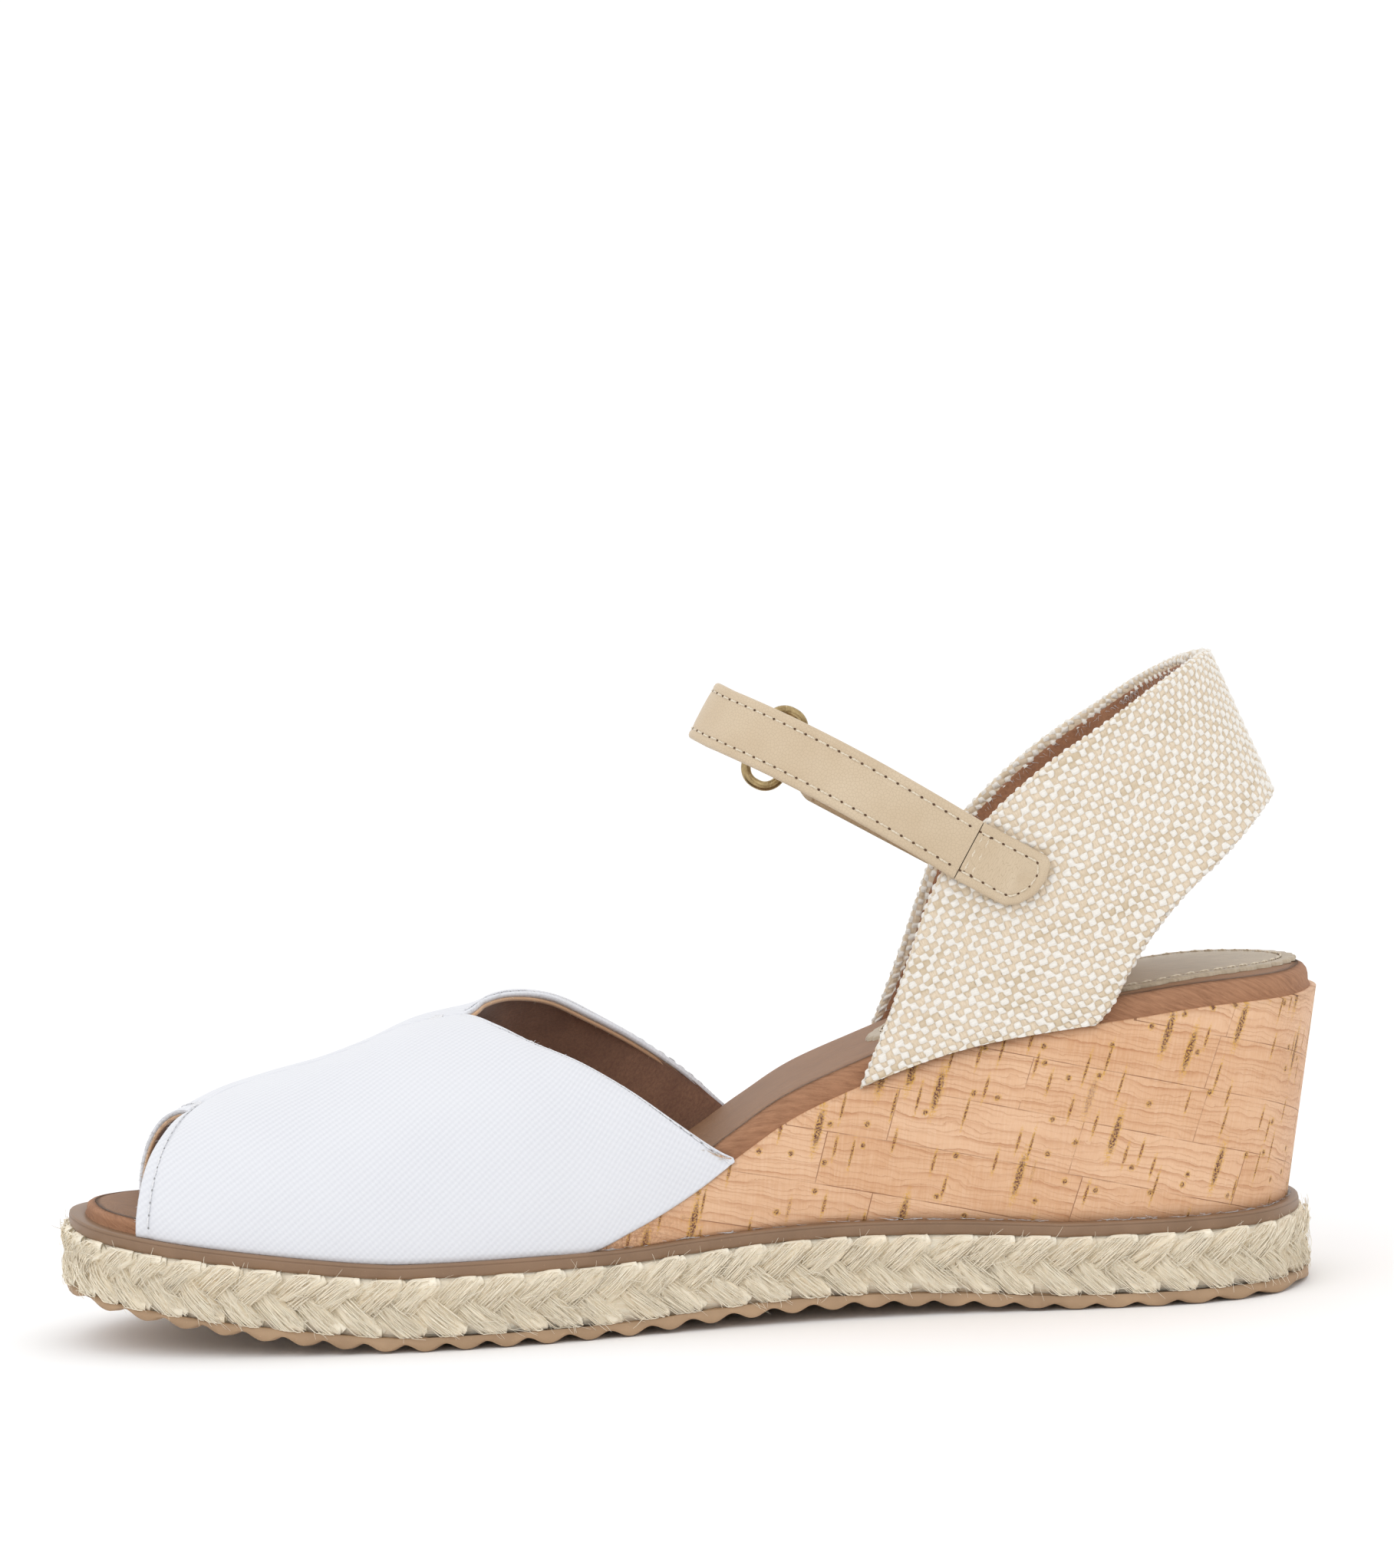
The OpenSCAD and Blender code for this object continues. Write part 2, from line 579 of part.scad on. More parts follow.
// Oval ring: straight bars across the strap, joined by rounded ends
corner_r = 3;
module ring()
    color([0.55, 0.46, 0.26])
    strap_frame()
    translate([front_bar[0], front_bar[1], 0]) rotate([0, 0, ring_angle])
    translate([bar_gap / 2, 0, 0]) {
        for (sx = [-1, 1]) translate([sx * bar_gap / 2, 0, 0])
            cylinder(h = ring_l - wire_d - 2 * corner_r, r = bar_r, center = true);
        for (sz = [-1, 1]) translate([0, 0, sz * (ring_l - wire_d) / 2])
            rotate([0, 90, 0]) cylinder(h = bar_gap - 2 * corner_r, r = bar_r, center = true);
        for (sx = [0, 1], sz = [0, 1]) mirror([sx, 0, 0]) mirror([0, 0, sz])
            translate([bar_gap / 2 - corner_r, 0, (ring_l - wire_d) / 2 - corner_r])
            rotate([90, 0, 0]) rotate_extrude(angle = 90) translate([corner_r, 0]) circle(bar_r);
    }

module tab()
    color([0.83, 0.73, 0.56])
    strap_frame()
    difference() {
        union() {
            ribbon(stretch(tab_route, 0.12, 1), half_t, half_t - strap_face_t, strap_w);
            ribbon(stretch(tab_route, 0, 0.15), half_t, half_t - strap_face_t, loop_w);
            eye(rear_bar);
        }
        eye_bore(rear_bar);
    }

module tab_lining()
    color([0.74, 0.64, 0.5])
    strap_frame()
    ribbon(stretch(tab_route, 0.15, 1), half_t - strap_face_t, -half_t, strap_w - 0.4);

module tab_stitching()
    color([0.9, 0.85, 0.74])
    strap_frame()
    stitch_rows(stretch(tab_route, 0.15, 0.95), half_t);

module hook_patch()
    color([0.78, 0.72, 0.62])
    strap_frame()
    ribbon(stretch(tab_route, 0.7, 1), -half_t, -half_t - patch_t, strap_w - 3);

// Soft half of the fastener, sewn to the lateral outside of the back strap
patch_columns = [40 : 42];
patch_rows = [3 : 5];
function patch_face(d) = let (g = strap_inside(d)) [for (i = patch_columns) [for (j = patch_rows) g[i][j]]];
module loop_patch()
    color([0.85, 0.8, 0.7])
    sheet(patch_face(-patch_t), patch_face(0));

outsole();
midsole();
jute_braid();
welt();
wedge_core();
cork_wrap();
shank();
insole_board();
footbed_foam();
footbed_cover();
heel_pad();
heel_pad_stitching();
vamp_medial();
vamp_lateral();
vamp_lining_medial();
vamp_lining_lateral();
vamp_stitching();
peep_bartack();
throat_bartack();
back_strap();
back_strap_foam();
back_strap_lining();
loop_patch();
strap_anchor();
anchor_stitching();
ankle_strap();
ankle_strap_lining();
ankle_strap_stitching();
ring();
tab();
tab_lining();
tab_stitching();
hook_patch();
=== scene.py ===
"""Wedge sandal: the visible pieces, worked out in millimetres and put on the CAD frame"""
import math

import bmesh
import bpy
import numpy as np
from mathutils import Matrix, Vector


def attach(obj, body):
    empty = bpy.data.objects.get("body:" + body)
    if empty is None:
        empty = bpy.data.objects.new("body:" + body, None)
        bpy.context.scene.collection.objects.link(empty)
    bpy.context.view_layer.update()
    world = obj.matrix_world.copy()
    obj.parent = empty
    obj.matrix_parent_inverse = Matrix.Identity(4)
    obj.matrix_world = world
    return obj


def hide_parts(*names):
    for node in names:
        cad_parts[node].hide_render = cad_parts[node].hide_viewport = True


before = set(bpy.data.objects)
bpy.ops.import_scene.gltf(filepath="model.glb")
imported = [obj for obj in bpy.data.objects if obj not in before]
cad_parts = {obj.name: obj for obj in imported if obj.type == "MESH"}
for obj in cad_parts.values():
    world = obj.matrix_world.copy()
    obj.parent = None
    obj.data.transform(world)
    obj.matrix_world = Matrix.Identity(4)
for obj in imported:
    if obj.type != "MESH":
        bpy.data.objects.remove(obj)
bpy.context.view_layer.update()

MM = 0.001
FINE = 1.0
rng = np.random.default_rng(11)


# ---- Curves, in millimetres ----

def unit(v):
    return v / np.maximum(np.linalg.norm(v, axis=-1, keepdims=True), 1e-9)


def spline(points, at, closed=False):
    """Smooth curve through points, or through grids of points, at the given places along it"""
    p = np.asarray(points, float)
    at = np.asarray(at, float)
    m = len(p)
    i = np.floor(at).astype(int)
    if not closed:
        i = np.clip(i, 0, m - 2)
    t = (at - i).reshape((-1,) + (1,) * (p.ndim - 1))
    a, b, c, d = (p[(i + k) % m] if closed else p[np.clip(i + k, 0, m - 1)] for k in (-1, 0, 1, 2))
    return 0.5 * (2 * b + (c - a) * t + (2 * a - 5 * b + 4 * c - d) * t ** 2
                  + (3 * b - a - 3 * c + d) * t ** 3)


def smooth(points, finer):
    spans = len(points) - 1
    return spline(points, np.linspace(0, spans, spans * finer + 1))


def steps(grid, axis=0):
    """Distance of each point from the one before it; the first is 0"""
    first = np.take(grid, [0], axis)
    return np.linalg.norm(np.diff(grid, axis=axis, prepend=first), axis=-1)


def run_length(path):
    return np.cumsum(steps(path))


def pairs(u, v):
    """A grid of (u, v) pairs"""
    return np.stack(np.meshgrid(u, v, indexing="ij"), -1)


def even(path, step):
    """The path again, with points at even distances"""
    s = run_length(path)
    at = np.linspace(0, s[-1], max(2, int(round(s[-1] / step)) + 1))
    return np.stack([np.interp(at, s, path[:, k]) for k in range(path.shape[1])], 1)


def wobble(x, y, scale, seed, octaves=2):
    """Smooth noise from -1 to 1, on the same scale in both directions"""
    r = np.random.default_rng(seed)
    out = np.zeros(np.broadcast(x, y).shape)
    for _ in range(6 * octaves):
        a = r.uniform(0, 2 * math.pi)
        f = 2 * math.pi / (scale * r.uniform(0.6, 1.8))
        out = out + np.sin(f * (x * math.cos(a) + y * math.sin(a)) + r.uniform(0, 2 * math.pi))
    return out / math.sqrt(6 * octaves)


def ramp(x, low, high):
    t = np.clip((x - low) / (high - low), 0, 1)
    return t * t * (3 - 2 * t)


# ---- Meshes ----

class Shape:
    """Collects closed pieces in millimetres and makes one object from them"""

    def __init__(self):
        self.verts, self.tones, self.faces, self.uvs, self.slots = [], [], [], [], []
        self.count = 0

    def add(self, verts, face_sets, uv_sets, slot=0, tone=0.0):
        verts = verts.reshape(-1, 3)
        centre = verts.mean(0)
        v = verts - centre
        volume = sum(np.einsum("ij,ij->i", v[f[:, 0]], np.cross(v[f[:, k]], v[f[:, k + 1]])).sum()
                     for f in face_sets for k in range(1, f.shape[1] - 1))
        for f, uv in zip(face_sets, uv_sets):
            if volume < 0:
                f, uv = f[:, ::-1], uv[:, ::-1]
            self.faces.append(f + self.count)
            self.uvs.append(uv)
            self.slots.append(np.full(len(f), slot))
        self.verts.append(verts)
        self.tones.append(np.broadcast_to(np.asarray(tone, float).reshape(-1), (len(verts),)))
        self.count += len(verts)

    @staticmethod
    def quads(row_count, column_count, n, m, uv):
        """Faces and their UVs for quads on an n by m grid, which may wrap round"""
        rows, columns = np.meshgrid(np.arange(row_count), np.arange(column_count), indexing="ij")
        corners = [(rows, columns), (rows + 1, columns), (rows + 1, columns + 1), (rows, columns + 1)]
        return (np.stack([(a % n) * m + b % m for a, b in corners], -1).reshape(-1, 4),
                np.stack([uv[a, b] for a, b in corners], -2).reshape(-1, 4, 2))

    def grid(self, points, uv, wrap=(False, False), slot=0, tone=0.0, caps=False):
        """Quads over a grid of points; uv has one more row or column where the grid wraps"""
        n, m = points.shape[:2]
        faces, uvs = self.quads(n if wrap[0] else n - 1, m if wrap[1] else m - 1, n, m, uv)
        sets, uv_sets = [faces], [uvs]
        if caps:
            for ring in (np.arange(m)[::-1], (n - 1) * m + np.arange(m)):
                sets.append(ring[None, :])
                uv_sets.append(uv[ring // m, ring % m][None, :, :])
        self.add(points, sets, uv_sets, slot, tone)

    def shell(self, outer, inner, uv, slot=0, bead=0.35, tone=0.0):
        """Closed sheet between two grids, with rounded rims along the grid's rows"""
        n, m = outer.shape[:2]
        thick = np.linalg.norm(outer - inner, axis=-1, keepdims=True)

        def rim(j, k):
            return ((outer[:, j] + inner[:, j]) / 2
                    + unit(outer[:, j] - outer[:, k]) * thick[:, j] * bead)[:, None]

        loop = np.concatenate([outer, rim(-1, -2), inner[:, ::-1], rim(0, 1)], 1)
        loop_uv = np.concatenate([uv, uv[:, -1:], uv[:, ::-1], uv[:, :1], uv[:, :1]], 1)
        size = 2 * m + 2
        faces, uvs = self.quads(n - 1, size, n, size, loop_uv)
        j = np.arange(m - 1)
        end = np.stack([j, j + 1, 2 * m - j - 1, 2 * m - j], 1)
        tips = np.array([[m - 1, m, m + 1], [0, 2 * m, 2 * m + 1]])
        sets, uv_sets = [faces], [uvs]
        for base, row, turn in ((0, 0, 1), ((n - 1) * size, n - 1, -1)):
            for f in (end, tips):
                sets.append((f + base)[:, ::turn])
                uv_sets.append(loop_uv[row, f][:, ::turn])
        tones = tone
        if np.ndim(tone) == 2:
            tones = np.concatenate([tone, tone[:, -1:], tone[:, ::-1], tone[:, :1]], 1)
        self.add(loop, sets, uv_sets, slot, tones)

    def tube(self, path, radius, sides=8, flat=1.0, up=None, slot=0, tone=0.0):
        """Capped tube along a path; flat below 1 presses it along up"""
        path = np.asarray(path, float)
        n = len(path)
        along = unit(np.gradient(path, axis=0))
        if up is None:
            up = np.eye(3)[np.argmin(np.abs(along.mean(0)))]
        side = unit(np.cross(along, np.broadcast_to(up, along.shape)))
        over = np.cross(side, along)
        radius = np.broadcast_to(np.asarray(radius, float), (n,))[:, None, None]
        a = np.linspace(0, 2 * math.pi, sides, endpoint=False)[None, :, None]
        points = path[:, None] + radius * (np.cos(a) * side[:, None] + flat * np.sin(a) * over[:, None])
        s = run_length(path)
        around = np.linspace(0, 2 * math.pi, sides + 1) * float(radius.mean())
        uv = pairs(s, around)
        self.grid(points, uv, (False, True), slot, tone, caps=True)

    def build(self, name, body, finishes, replaced=(), slot=None, weld=False):
        mesh = bpy.data.meshes.new(name)
        verts = np.concatenate(self.verts) * MM
        sizes = np.concatenate([np.full(len(f), f.shape[1]) for f in self.faces])
        loops = np.concatenate([f.ravel() for f in self.faces])
        mesh.vertices.add(len(verts))
        mesh.vertices.foreach_set("co", verts.astype(np.float32).ravel())
        mesh.loops.add(len(loops))
        mesh.loops.foreach_set("vertex_index", loops.astype(np.int32))
        mesh.polygons.add(len(sizes))
        mesh.polygons.foreach_set("loop_start", (np.cumsum(sizes) - sizes).astype(np.int32))
        mesh.polygons.foreach_set("material_index", np.concatenate(self.slots).astype(np.int32))
        mesh.polygons.foreach_set("use_smooth", np.full(len(sizes), True))
        layer = mesh.uv_layers.new(name="UVMap")
        layer.data.foreach_set("uv", np.concatenate([u.reshape(-1, 2) for u in self.uvs])
                               .astype(np.float32).ravel())
        tone = mesh.attributes.new("tone", "FLOAT", "POINT")
        tone.data.foreach_set("value", np.concatenate(self.tones).astype(np.float32))
        mesh.update(calc_edges=True)
        mesh.validate()
        if weld:
            bm = bmesh.new()
            bm.from_mesh(mesh)
            bmesh.ops.remove_doubles(bm, verts=bm.verts, dist=2e-6)
            bm.to_mesh(mesh)
            bm.free()
        obj = bpy.data.objects.new(name, mesh)
        bpy.context.scene.collection.objects.link(obj)
        for f in finishes:
            mesh.materials.append(f.material)
        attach(obj, body)
        if replaced:
            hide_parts(*replaced)
        return obj


def hair(shape, start, along, out, length, lift, bend, radius, slot=0, tone=0.0):
    """One stray fibre: it leaves the surface, bows away from it and comes back or stands off"""
    t = np.linspace(0, 1, 6)[:, None]
    side = np.cross(out, along)
    path = (start + along * length * t + out * (lift * np.sin(math.pi * t * rng.uniform(0.6, 1.0)))
            + side * bend * t * t + side * 0.25 * bend * np.sin(5 * t + rng.uniform(0, 6)))
    shape.tube(path, radius * (1 - 0.6 * t[:, 0]), 3, up=out, slot=slot, tone=tone)


def stitches(shape, hole_shades, path, out, pitch, length, radius, lift=0.05, hole=0.24):
    """A row of separate stitches along a path, with a dark disc of painted shade for the needle hole between
    each two
    """
    s = run_length(path)
    count = max(2, int(round(s[-1] / pitch)))
    step = s[-1] / count

    def at(d):
        return np.array([np.interp(d, s, path[:, k]) for k in range(3)])

    def normal(d):
        return unit(np.array([np.interp(d, s, out[:, k]) for k in range(3)]))

    for k in range(count):
        middle = (k + 0.5) * step
        d = np.linspace(-0.5, 0.5, 7)
        shift = rng.normal(0, 0.06, 3)
        line = np.array([at(middle + q * length) + normal(middle) * (lift + radius * 0.7
                        * (1 - (2 * q) ** 4)) for q in d]) + shift * 0.5
        for turn in (0, math.pi):
            side = unit(np.cross(line[-1] - line[0], normal(middle)))
            a = d * 2.2 * math.pi + turn
            twist = 0.42 * radius * (np.sin(a)[:, None] * side + np.cos(a)[:, None] * normal(middle))
            shape.tube(line + twist, radius * 0.68 * (1 - 0.5 * np.abs(2 * d) ** 5), 6,
                       up=normal(middle), tone=rng.uniform(-1, 1))
    # a dark flattened disc at each needle hole: painted shade standing in for the hole
    for k in range(count + 1):
        p, n = at(k * step), normal(k * step)
        t = unit(at(min(k * step + 0.3, s[-1])) - at(max(k * step - 0.3, 0)))
        d = np.linspace(-1, 1, 5)[:, None]
        hole_shades.tube(p + t * d * hole * 1.25 + n * 0.03, hole * np.sqrt(1.05 - d[:, 0] ** 2), 6,
                   flat=0.35, up=n)


# ---- Finishes ----

class Finish:
    """A material made of nodes; the UV map is in millimetres"""

    def __init__(self, name, rough=0.6, **fixed):
        self.material = bpy.data.materials.new(name)
        self.material.use_nodes = True
        self.tree = self.material.node_tree
        self.shader = self.tree.nodes["Principled BSDF"]
        self.shader.inputs["Roughness"].default_value = rough
        for key, value in fixed.items():
            self.shader.inputs[key.replace("_", " ")].default_value = value
        self.bump = None

    def node(self, kind, sockets=None, **props):
        n = self.tree.nodes.new("ShaderNode" + kind)
        for key, value in props.items():
            setattr(n, key, value)
        for key, value in (sockets or {}).items():
            if isinstance(value, bpy.types.NodeSocket):
                self.tree.links.new(value, n.inputs[key])
            else:
                n.inputs[key].default_value = value
        return n

    def uv(self, scale=(1, 1), turn=0.0):
        flat = self.node("UVMap", uv_map="UVMap").outputs[0]
        turned = self.node("Mapping", {"Vector": flat, "Rotation": (0, 0, turn)}).outputs[0]
        return self.node("Mapping", {"Vector": turned, "Scale": (scale[0], scale[1], 1)}).outputs[0]

    def place(self, scale=(1, 1, 1)):
        at = self.node("TexCoord").outputs["Object"]
        return self.node("Mapping", {"Vector": at, "Scale": tuple(1000 * s for s in scale)}).outputs[0]

    def tone(self):
        return self.node("Attribute", attribute_name="tone").outputs["Fac"]

    def noise(self, at, scale=1.0, detail=2.0, rough=0.5, warp=0.0):
        return self.node("TexNoise", {"Vector": at, "Scale": scale, "Detail": detail,
                                      "Roughness": rough, "Distortion": warp}).outputs["Fac"]

    def cells(self, at, scale=1.0, feature="F1"):
        return self.node("TexVoronoi", {"Vector": at, "Scale": scale},
                         feature=feature, voronoi_dimensions="2D")

    def first(self, pattern):
        """One random value for each cell or block of a pattern"""
        return self.node("SeparateColor", {"Color": pattern.outputs["Color"]}).outputs[0]

    def math(self, op, a, b=0.0):
        return self.node("Math", {0: a, 1: b}, operation=op).outputs[0]

    def band(self, value, low, high):
        """0 below low and 1 above high, or the other way round"""
        return self.node("MapRange", {"Value": value, "From Min": low, "From Max": high}).outputs[0]

    def mix(self, share, a, b):
        a, b = ((*v, 1) if isinstance(v, tuple) else v for v in (a, b))
        return self.node("Mix", {0: share, 6: a, 7: b}, data_type="RGBA").outputs[2]

    def product(self, *values):
        out = values[0]
        for value in values[1:]:
            out = self.math("MULTIPLY", out, value)
        return out

    def colour(self, value):
        self.tree.links.new(value, self.shader.inputs["Base Color"])

    def roughness(self, share, low, high):
        n = self.node("MapRange", {"Value": share, "To Min": low, "To Max": high})
        self.tree.links.new(n.outputs[0], self.shader.inputs["Roughness"])

    def relief(self, height, depth_mm, strength=1.0):
        sockets = {"Height": height, "Distance": depth_mm * MM, "Strength": strength}
        if self.bump is not None:
            sockets["Normal"] = self.bump
        self.bump = self.node("Bump", sockets).outputs[0]
        self.tree.links.new(self.bump, self.shader.inputs["Normal"])
        return self


def jute_finish():
    f = Finish("jute", 0.85, Specular_IOR_Level=0.25, Sheen_Weight=0.15)
    fibres = f.noise(f.uv((0.2, 4.2), 0.12), 1.0, 4.0, 0.7)
    coarse = f.noise(f.uv((0.1, 0.9), -0.1), 1.0, 2.0, 0.5)
    c = f.mix(f.band(fibres, 0.3, 0.68), (0.83, 0.70, 0.505), (0.98, 0.925, 0.79))
    c = f.mix(f.band(coarse, 0.45, 0.75), c, (0.98, 0.925, 0.79))
    c = f.mix(f.band(f.tone(), 0.0, 1.6), c, (0.88, 0.74, 0.53))
    f.colour(c)
    return f.relief(fibres, 0.2, 0.8).relief(coarse, 0.2, 0.5)


def rubber_finish(name, dark, light, rough):
    f = Finish(name, rough, Specular_IOR_Level=0.4)
    at = f.place()
    speck = f.noise(at, 1.6, 4.0, 0.7)
    cloud = f.noise(at, 0.09, 3.0, 0.6)
    c = f.mix(f.band(cloud, 0.3, 0.7), dark, light)
    f.colour(f.mix(f.band(speck, 0.62, 0.8), c, tuple(min(1, x * 1.35) for x in light)))
    f.roughness(cloud, rough - 0.06, rough + 0.08)
    return f.relief(f.noise(at, 2.2, 3.0, 0.6), 0.05, 0.5)


def cork_finish():
    """Veneer in blocks, with wavy layers across them and dark, gold-rimmed marks up them"""
    f = Finish("cork", 0.55, Specular_IOR_Level=0.3)
    lean, mark_lean = math.radians(13), 0.22
    flat = f.uv()
    cloud = f.noise(f.uv((0.05, 0.12), lean), 1.0, 3.0, 0.6)
    c = f.mix(f.band(cloud, 0.3, 0.7), (0.60, 0.325, 0.17), (0.71, 0.44, 0.265))
    blocks = f.node("TexBrick", {"Vector": f.uv((1, 1), lean), "Scale": 1.0, "Color1": (0, 0, 0, 1),
                                 "Color2": (1, 1, 1, 1), "Mortar": (0.5, 0.5, 0.5, 1),
                                 "Mortar Size": 0.12, "Mortar Smooth": 0.5, "Bias": 0.0,
                                 "Brick Width": 36.0, "Row Height": 10.5},
                    offset=0.37, squash=1.4, squash_frequency=3)
    block = f.first(blocks)
    c = f.mix(f.product(block, 0.5), c, (0.76, 0.50, 0.325))
    streak = f.noise(f.uv((2.4, 0.16), lean - 0.15), 1.0, 4.0, 0.7)
    c = f.mix(f.product(f.band(streak, 0.42, 0.75), 0.35), c, (0.82, 0.59, 0.42))
    parts = f.node("SeparateXYZ", {"Vector": f.uv((1, 1), lean)})
    drift = f.noise(f.uv((0.07, 0.12), lean), 1.0, 5.0, 0.55)
    shift = f.product(block, 0.7)
    layers = None
    for pitch, wave, strength in ((2.6, 5.0, 0.6), (1.05, 7.0, 0.4)):
        height = f.math("ADD", parts.outputs[1], f.product(drift, wave))
        level = f.math("ADD", f.math("DIVIDE", height, pitch), shift)
        saw = f.math("FRACT", level)
        line = f.product(f.band(saw, 0.5, 0.97), f.band(saw, 1.0, 0.97))
        line = f.math("POWER", line, 2.2)
        gate = f.band(f.noise(f.uv((0.05, 0.35), lean), 1.0 + wave / 20, 2.0), 0.3, 0.6)
        line = f.product(line, gate)
        c = f.mix(f.product(line, strength), c, (0.40, 0.155, 0.055))
        layers = line if layers is None else f.math("MAXIMUM", layers, line)
    joint = f.product(blocks.outputs["Fac"], f.band(f.noise(f.uv((0.08, 0.08)), 1.0, 2.0), 0.36, 0.55))
    c = f.mix(f.product(joint, 0.8), c, (0.22, 0.09, 0.04))
    ragged = f.math("SUBTRACT", f.noise(flat, 1.5, 4.0, 0.75), 0.5)
    gold = f.band(f.noise(flat, 2.6, 2.0, 0.6), 0.42, 0.6)
    pits = None
    for scale, reach, share, colour in (((0.2, 0.034), 0.16, 0.55, (0.13, 0.045, 0.03)),
                                        ((0.36, 0.05), 0.12, 0.58, (0.22, 0.08, 0.04)),
                                        ((0.3, 0.026), 0.085, 0.5, (0.18, 0.065, 0.03)),
                                        ((0.17, 0.15), 0.1, 0.62, (0.14, 0.05, 0.03))):
        v = f.cells(f.uv(scale, mark_lean))
        near = f.math("ADD", v.outputs["Distance"], f.product(ragged, reach * 1.3))
        keep = f.band(f.first(v), share, share + 0.02)
        halo = f.product(f.band(near, reach * 1.5, reach * 1.0), keep)
        c = f.mix(f.product(halo, gold, 0.8), c, (0.66, 0.37, 0.07))
        spot = f.product(f.band(near, reach * 0.9, reach * 0.55), keep)
        c = f.mix(f.product(spot, f.band(gold, 1.2, 0.0)), c, colour)
        pits = spot if pits is None else f.math("MAXIMUM", pits, spot)
    end = f.product(f.band(f.tone(), 0.2, 1.0), f.band(ragged, -0.06, 0.06))
    c = f.mix(f.product(end, 0.55), c, (0.3, 0.13, 0.06))
    f.colour(c)
    f.relief(f.math("SUBTRACT", streak, f.product(pits, 2.0)), 0.1, 0.6)
    return f.relief(layers, -0.12, 0.6)


def twill_finish():
    f = Finish("white_twill", 0.75, Specular_IOR_Level=0.2, Sheen_Weight=0.25)
    wander = f.noise(f.uv((0.12, 0.12)), 1.0, 2.0)
    parts = f.node("SeparateXYZ", {"Vector": f.uv((1, 1), math.radians(-42))})
    place = f.math("ADD", f.product(parts.outputs[1], 0.9), f.product(wander, 0.35))
    wave = f.math("SINE", f.product(place, 2 * math.pi))
    beat = f.math("SINE", f.product(parts.outputs[0], 2 * math.pi / 0.85))
    cloth = f.math("ADD", f.product(wave, 0.3), f.product(beat, 0.16))
    thread = f.noise(f.uv((2.2, 2.2)), 1.0, 3.0, 0.7)
    cloth = f.math("ADD", cloth, f.product(thread, 0.8))
    c = f.mix(f.band(cloth, -0.3, 0.9), (0.62, 0.63, 0.67), (0.715, 0.725, 0.76))
    cloud = f.noise(f.uv((0.05, 0.05)), 1.0, 2.0)
    c = f.mix(f.product(f.band(cloud, 0.35, 0.75), 0.25), c, (0.74, 0.75, 0.78))
    f.colour(c)
    return f.relief(cloth, 0.08, 0.5)


def suede_finish(name, dark, light, raw, rough=0.95):
    """Suede with a lighter raw edge where the tone is above 0"""
    f = Finish(name, rough, Specular_IOR_Level=0.1, Sheen_Weight=0.5, Sheen_Roughness=0.6)
    nap = f.noise(f.uv((1.5, 1.5)), 1.0, 4.0, 0.75)
    cloud = f.noise(f.uv((0.14, 0.14)), 1.0, 3.0)
    c = f.mix(f.band(cloud, 0.32, 0.68), dark, light)
    c = f.mix(f.band(nap, 0.35, 0.8), c, tuple(x * 0.6 for x in dark))
    fuzz = f.math("ADD", f.tone(), f.product(f.math("SUBTRACT", nap, 0.5), 0.9))
    f.colour(f.mix(f.band(fuzz, 0.35, 0.75), c, raw))
    return f.relief(nap, 0.16, 0.7)


def linen_finish():
    """Pale yarn where the tone is above 0 and tan yarn below, with painted shade in the gaps where they meet
    """
    f = Finish("linen", 0.85, Specular_IOR_Level=0.2, Sheen_Weight=0.2)
    tone = f.tone()
    lean = -0.42
    strand = f.noise(f.uv((0.6, 4.2), lean), 1.0, 3.0, 0.7)
    cross = f.noise(f.uv((4.2, 0.6), lean), 1.0, 3.0, 0.7)
    warp = f.noise(f.uv((0.07, 0.35), lean), 1.0, 2.0)
    white = f.mix(f.band(strand, 0.3, 0.7), (0.72, 0.68, 0.615), (0.85, 0.825, 0.78))
    tan = f.mix(f.band(cross, 0.3, 0.7), (0.60, 0.485, 0.35), (0.78, 0.67, 0.53))
    tan = f.mix(f.band(warp, 0.5, 0.7), tan, (0.58, 0.47, 0.33))
    c = f.mix(f.band(tone, -0.06, 0.1), tan, white)
    # painted shade: darker where the pale and tan yarns meet, in the gaps of the weave
    groove = f.band(f.math("ABSOLUTE", tone), 0.16, 0.02)
    c = f.mix(f.product(groove, 0.4), c, (0.50, 0.40, 0.28))
    f.colour(c)
    return f.relief(f.math("ADD", strand, f.product(cross, 0.5)), 0.09, 0.7)


def leather_finish(name, dark, light, rough=0.42, grain=0.75, depth=0.05, **fixed):
    f = Finish(name, rough, Specular_IOR_Level=0.4, **fixed)
    at = f.uv((grain, grain))
    crease = f.cells(at, 1.6, "DISTANCE_TO_EDGE").outputs["Distance"]
    cloud = f.noise(f.uv((0.06, 0.06)), 1.0, 3.0)
    c = f.mix(f.band(cloud, 0.3, 0.7), dark, light)
    # painted shade: the creases of the grain are darker
    c = f.mix(f.band(crease, 0.06, 0.0), c, tuple(x * 0.82 for x in dark))
    c = f.mix(f.band(f.tone(), 0.3, 1.0), c, tuple(min(1, x * 1.1) for x in light))
    f.colour(c)
    f.roughness(f.noise(at, 0.6, 2.0), rough - 0.05, rough + 0.09)
    return f.relief(f.band(crease, 0.0, 0.12), depth, 0.5)


def brushed_line_finish(name, dark, light, rough=0.7, metal=0.0):
    """Embossed leather with fine lines that wander along it"""
    f = Finish(name, rough, Specular_IOR_Level=0.35, Metallic=metal)
    lines = f.noise(f.uv((0.22, 1.6), 0.5), 1.0, 4.0, 0.7, 0.4)
    cloud = f.noise(f.uv((0.09, 0.09)), 1.0, 3.0)
    c = f.mix(f.band(lines, 0.3, 0.7), dark, light)
    c = f.mix(f.product(f.band(cloud, 0.3, 0.7), 0.4), c, light)
    f.colour(c)
    f.roughness(lines, rough - 0.1, rough + 0.1)
    grain = f.noise(f.uv((0.9, 0.9)), 1.0, 4.0, 0.7)
    f.relief(grain, 0.2, 0.6)
    return f.relief(lines, 0.22, 0.9)


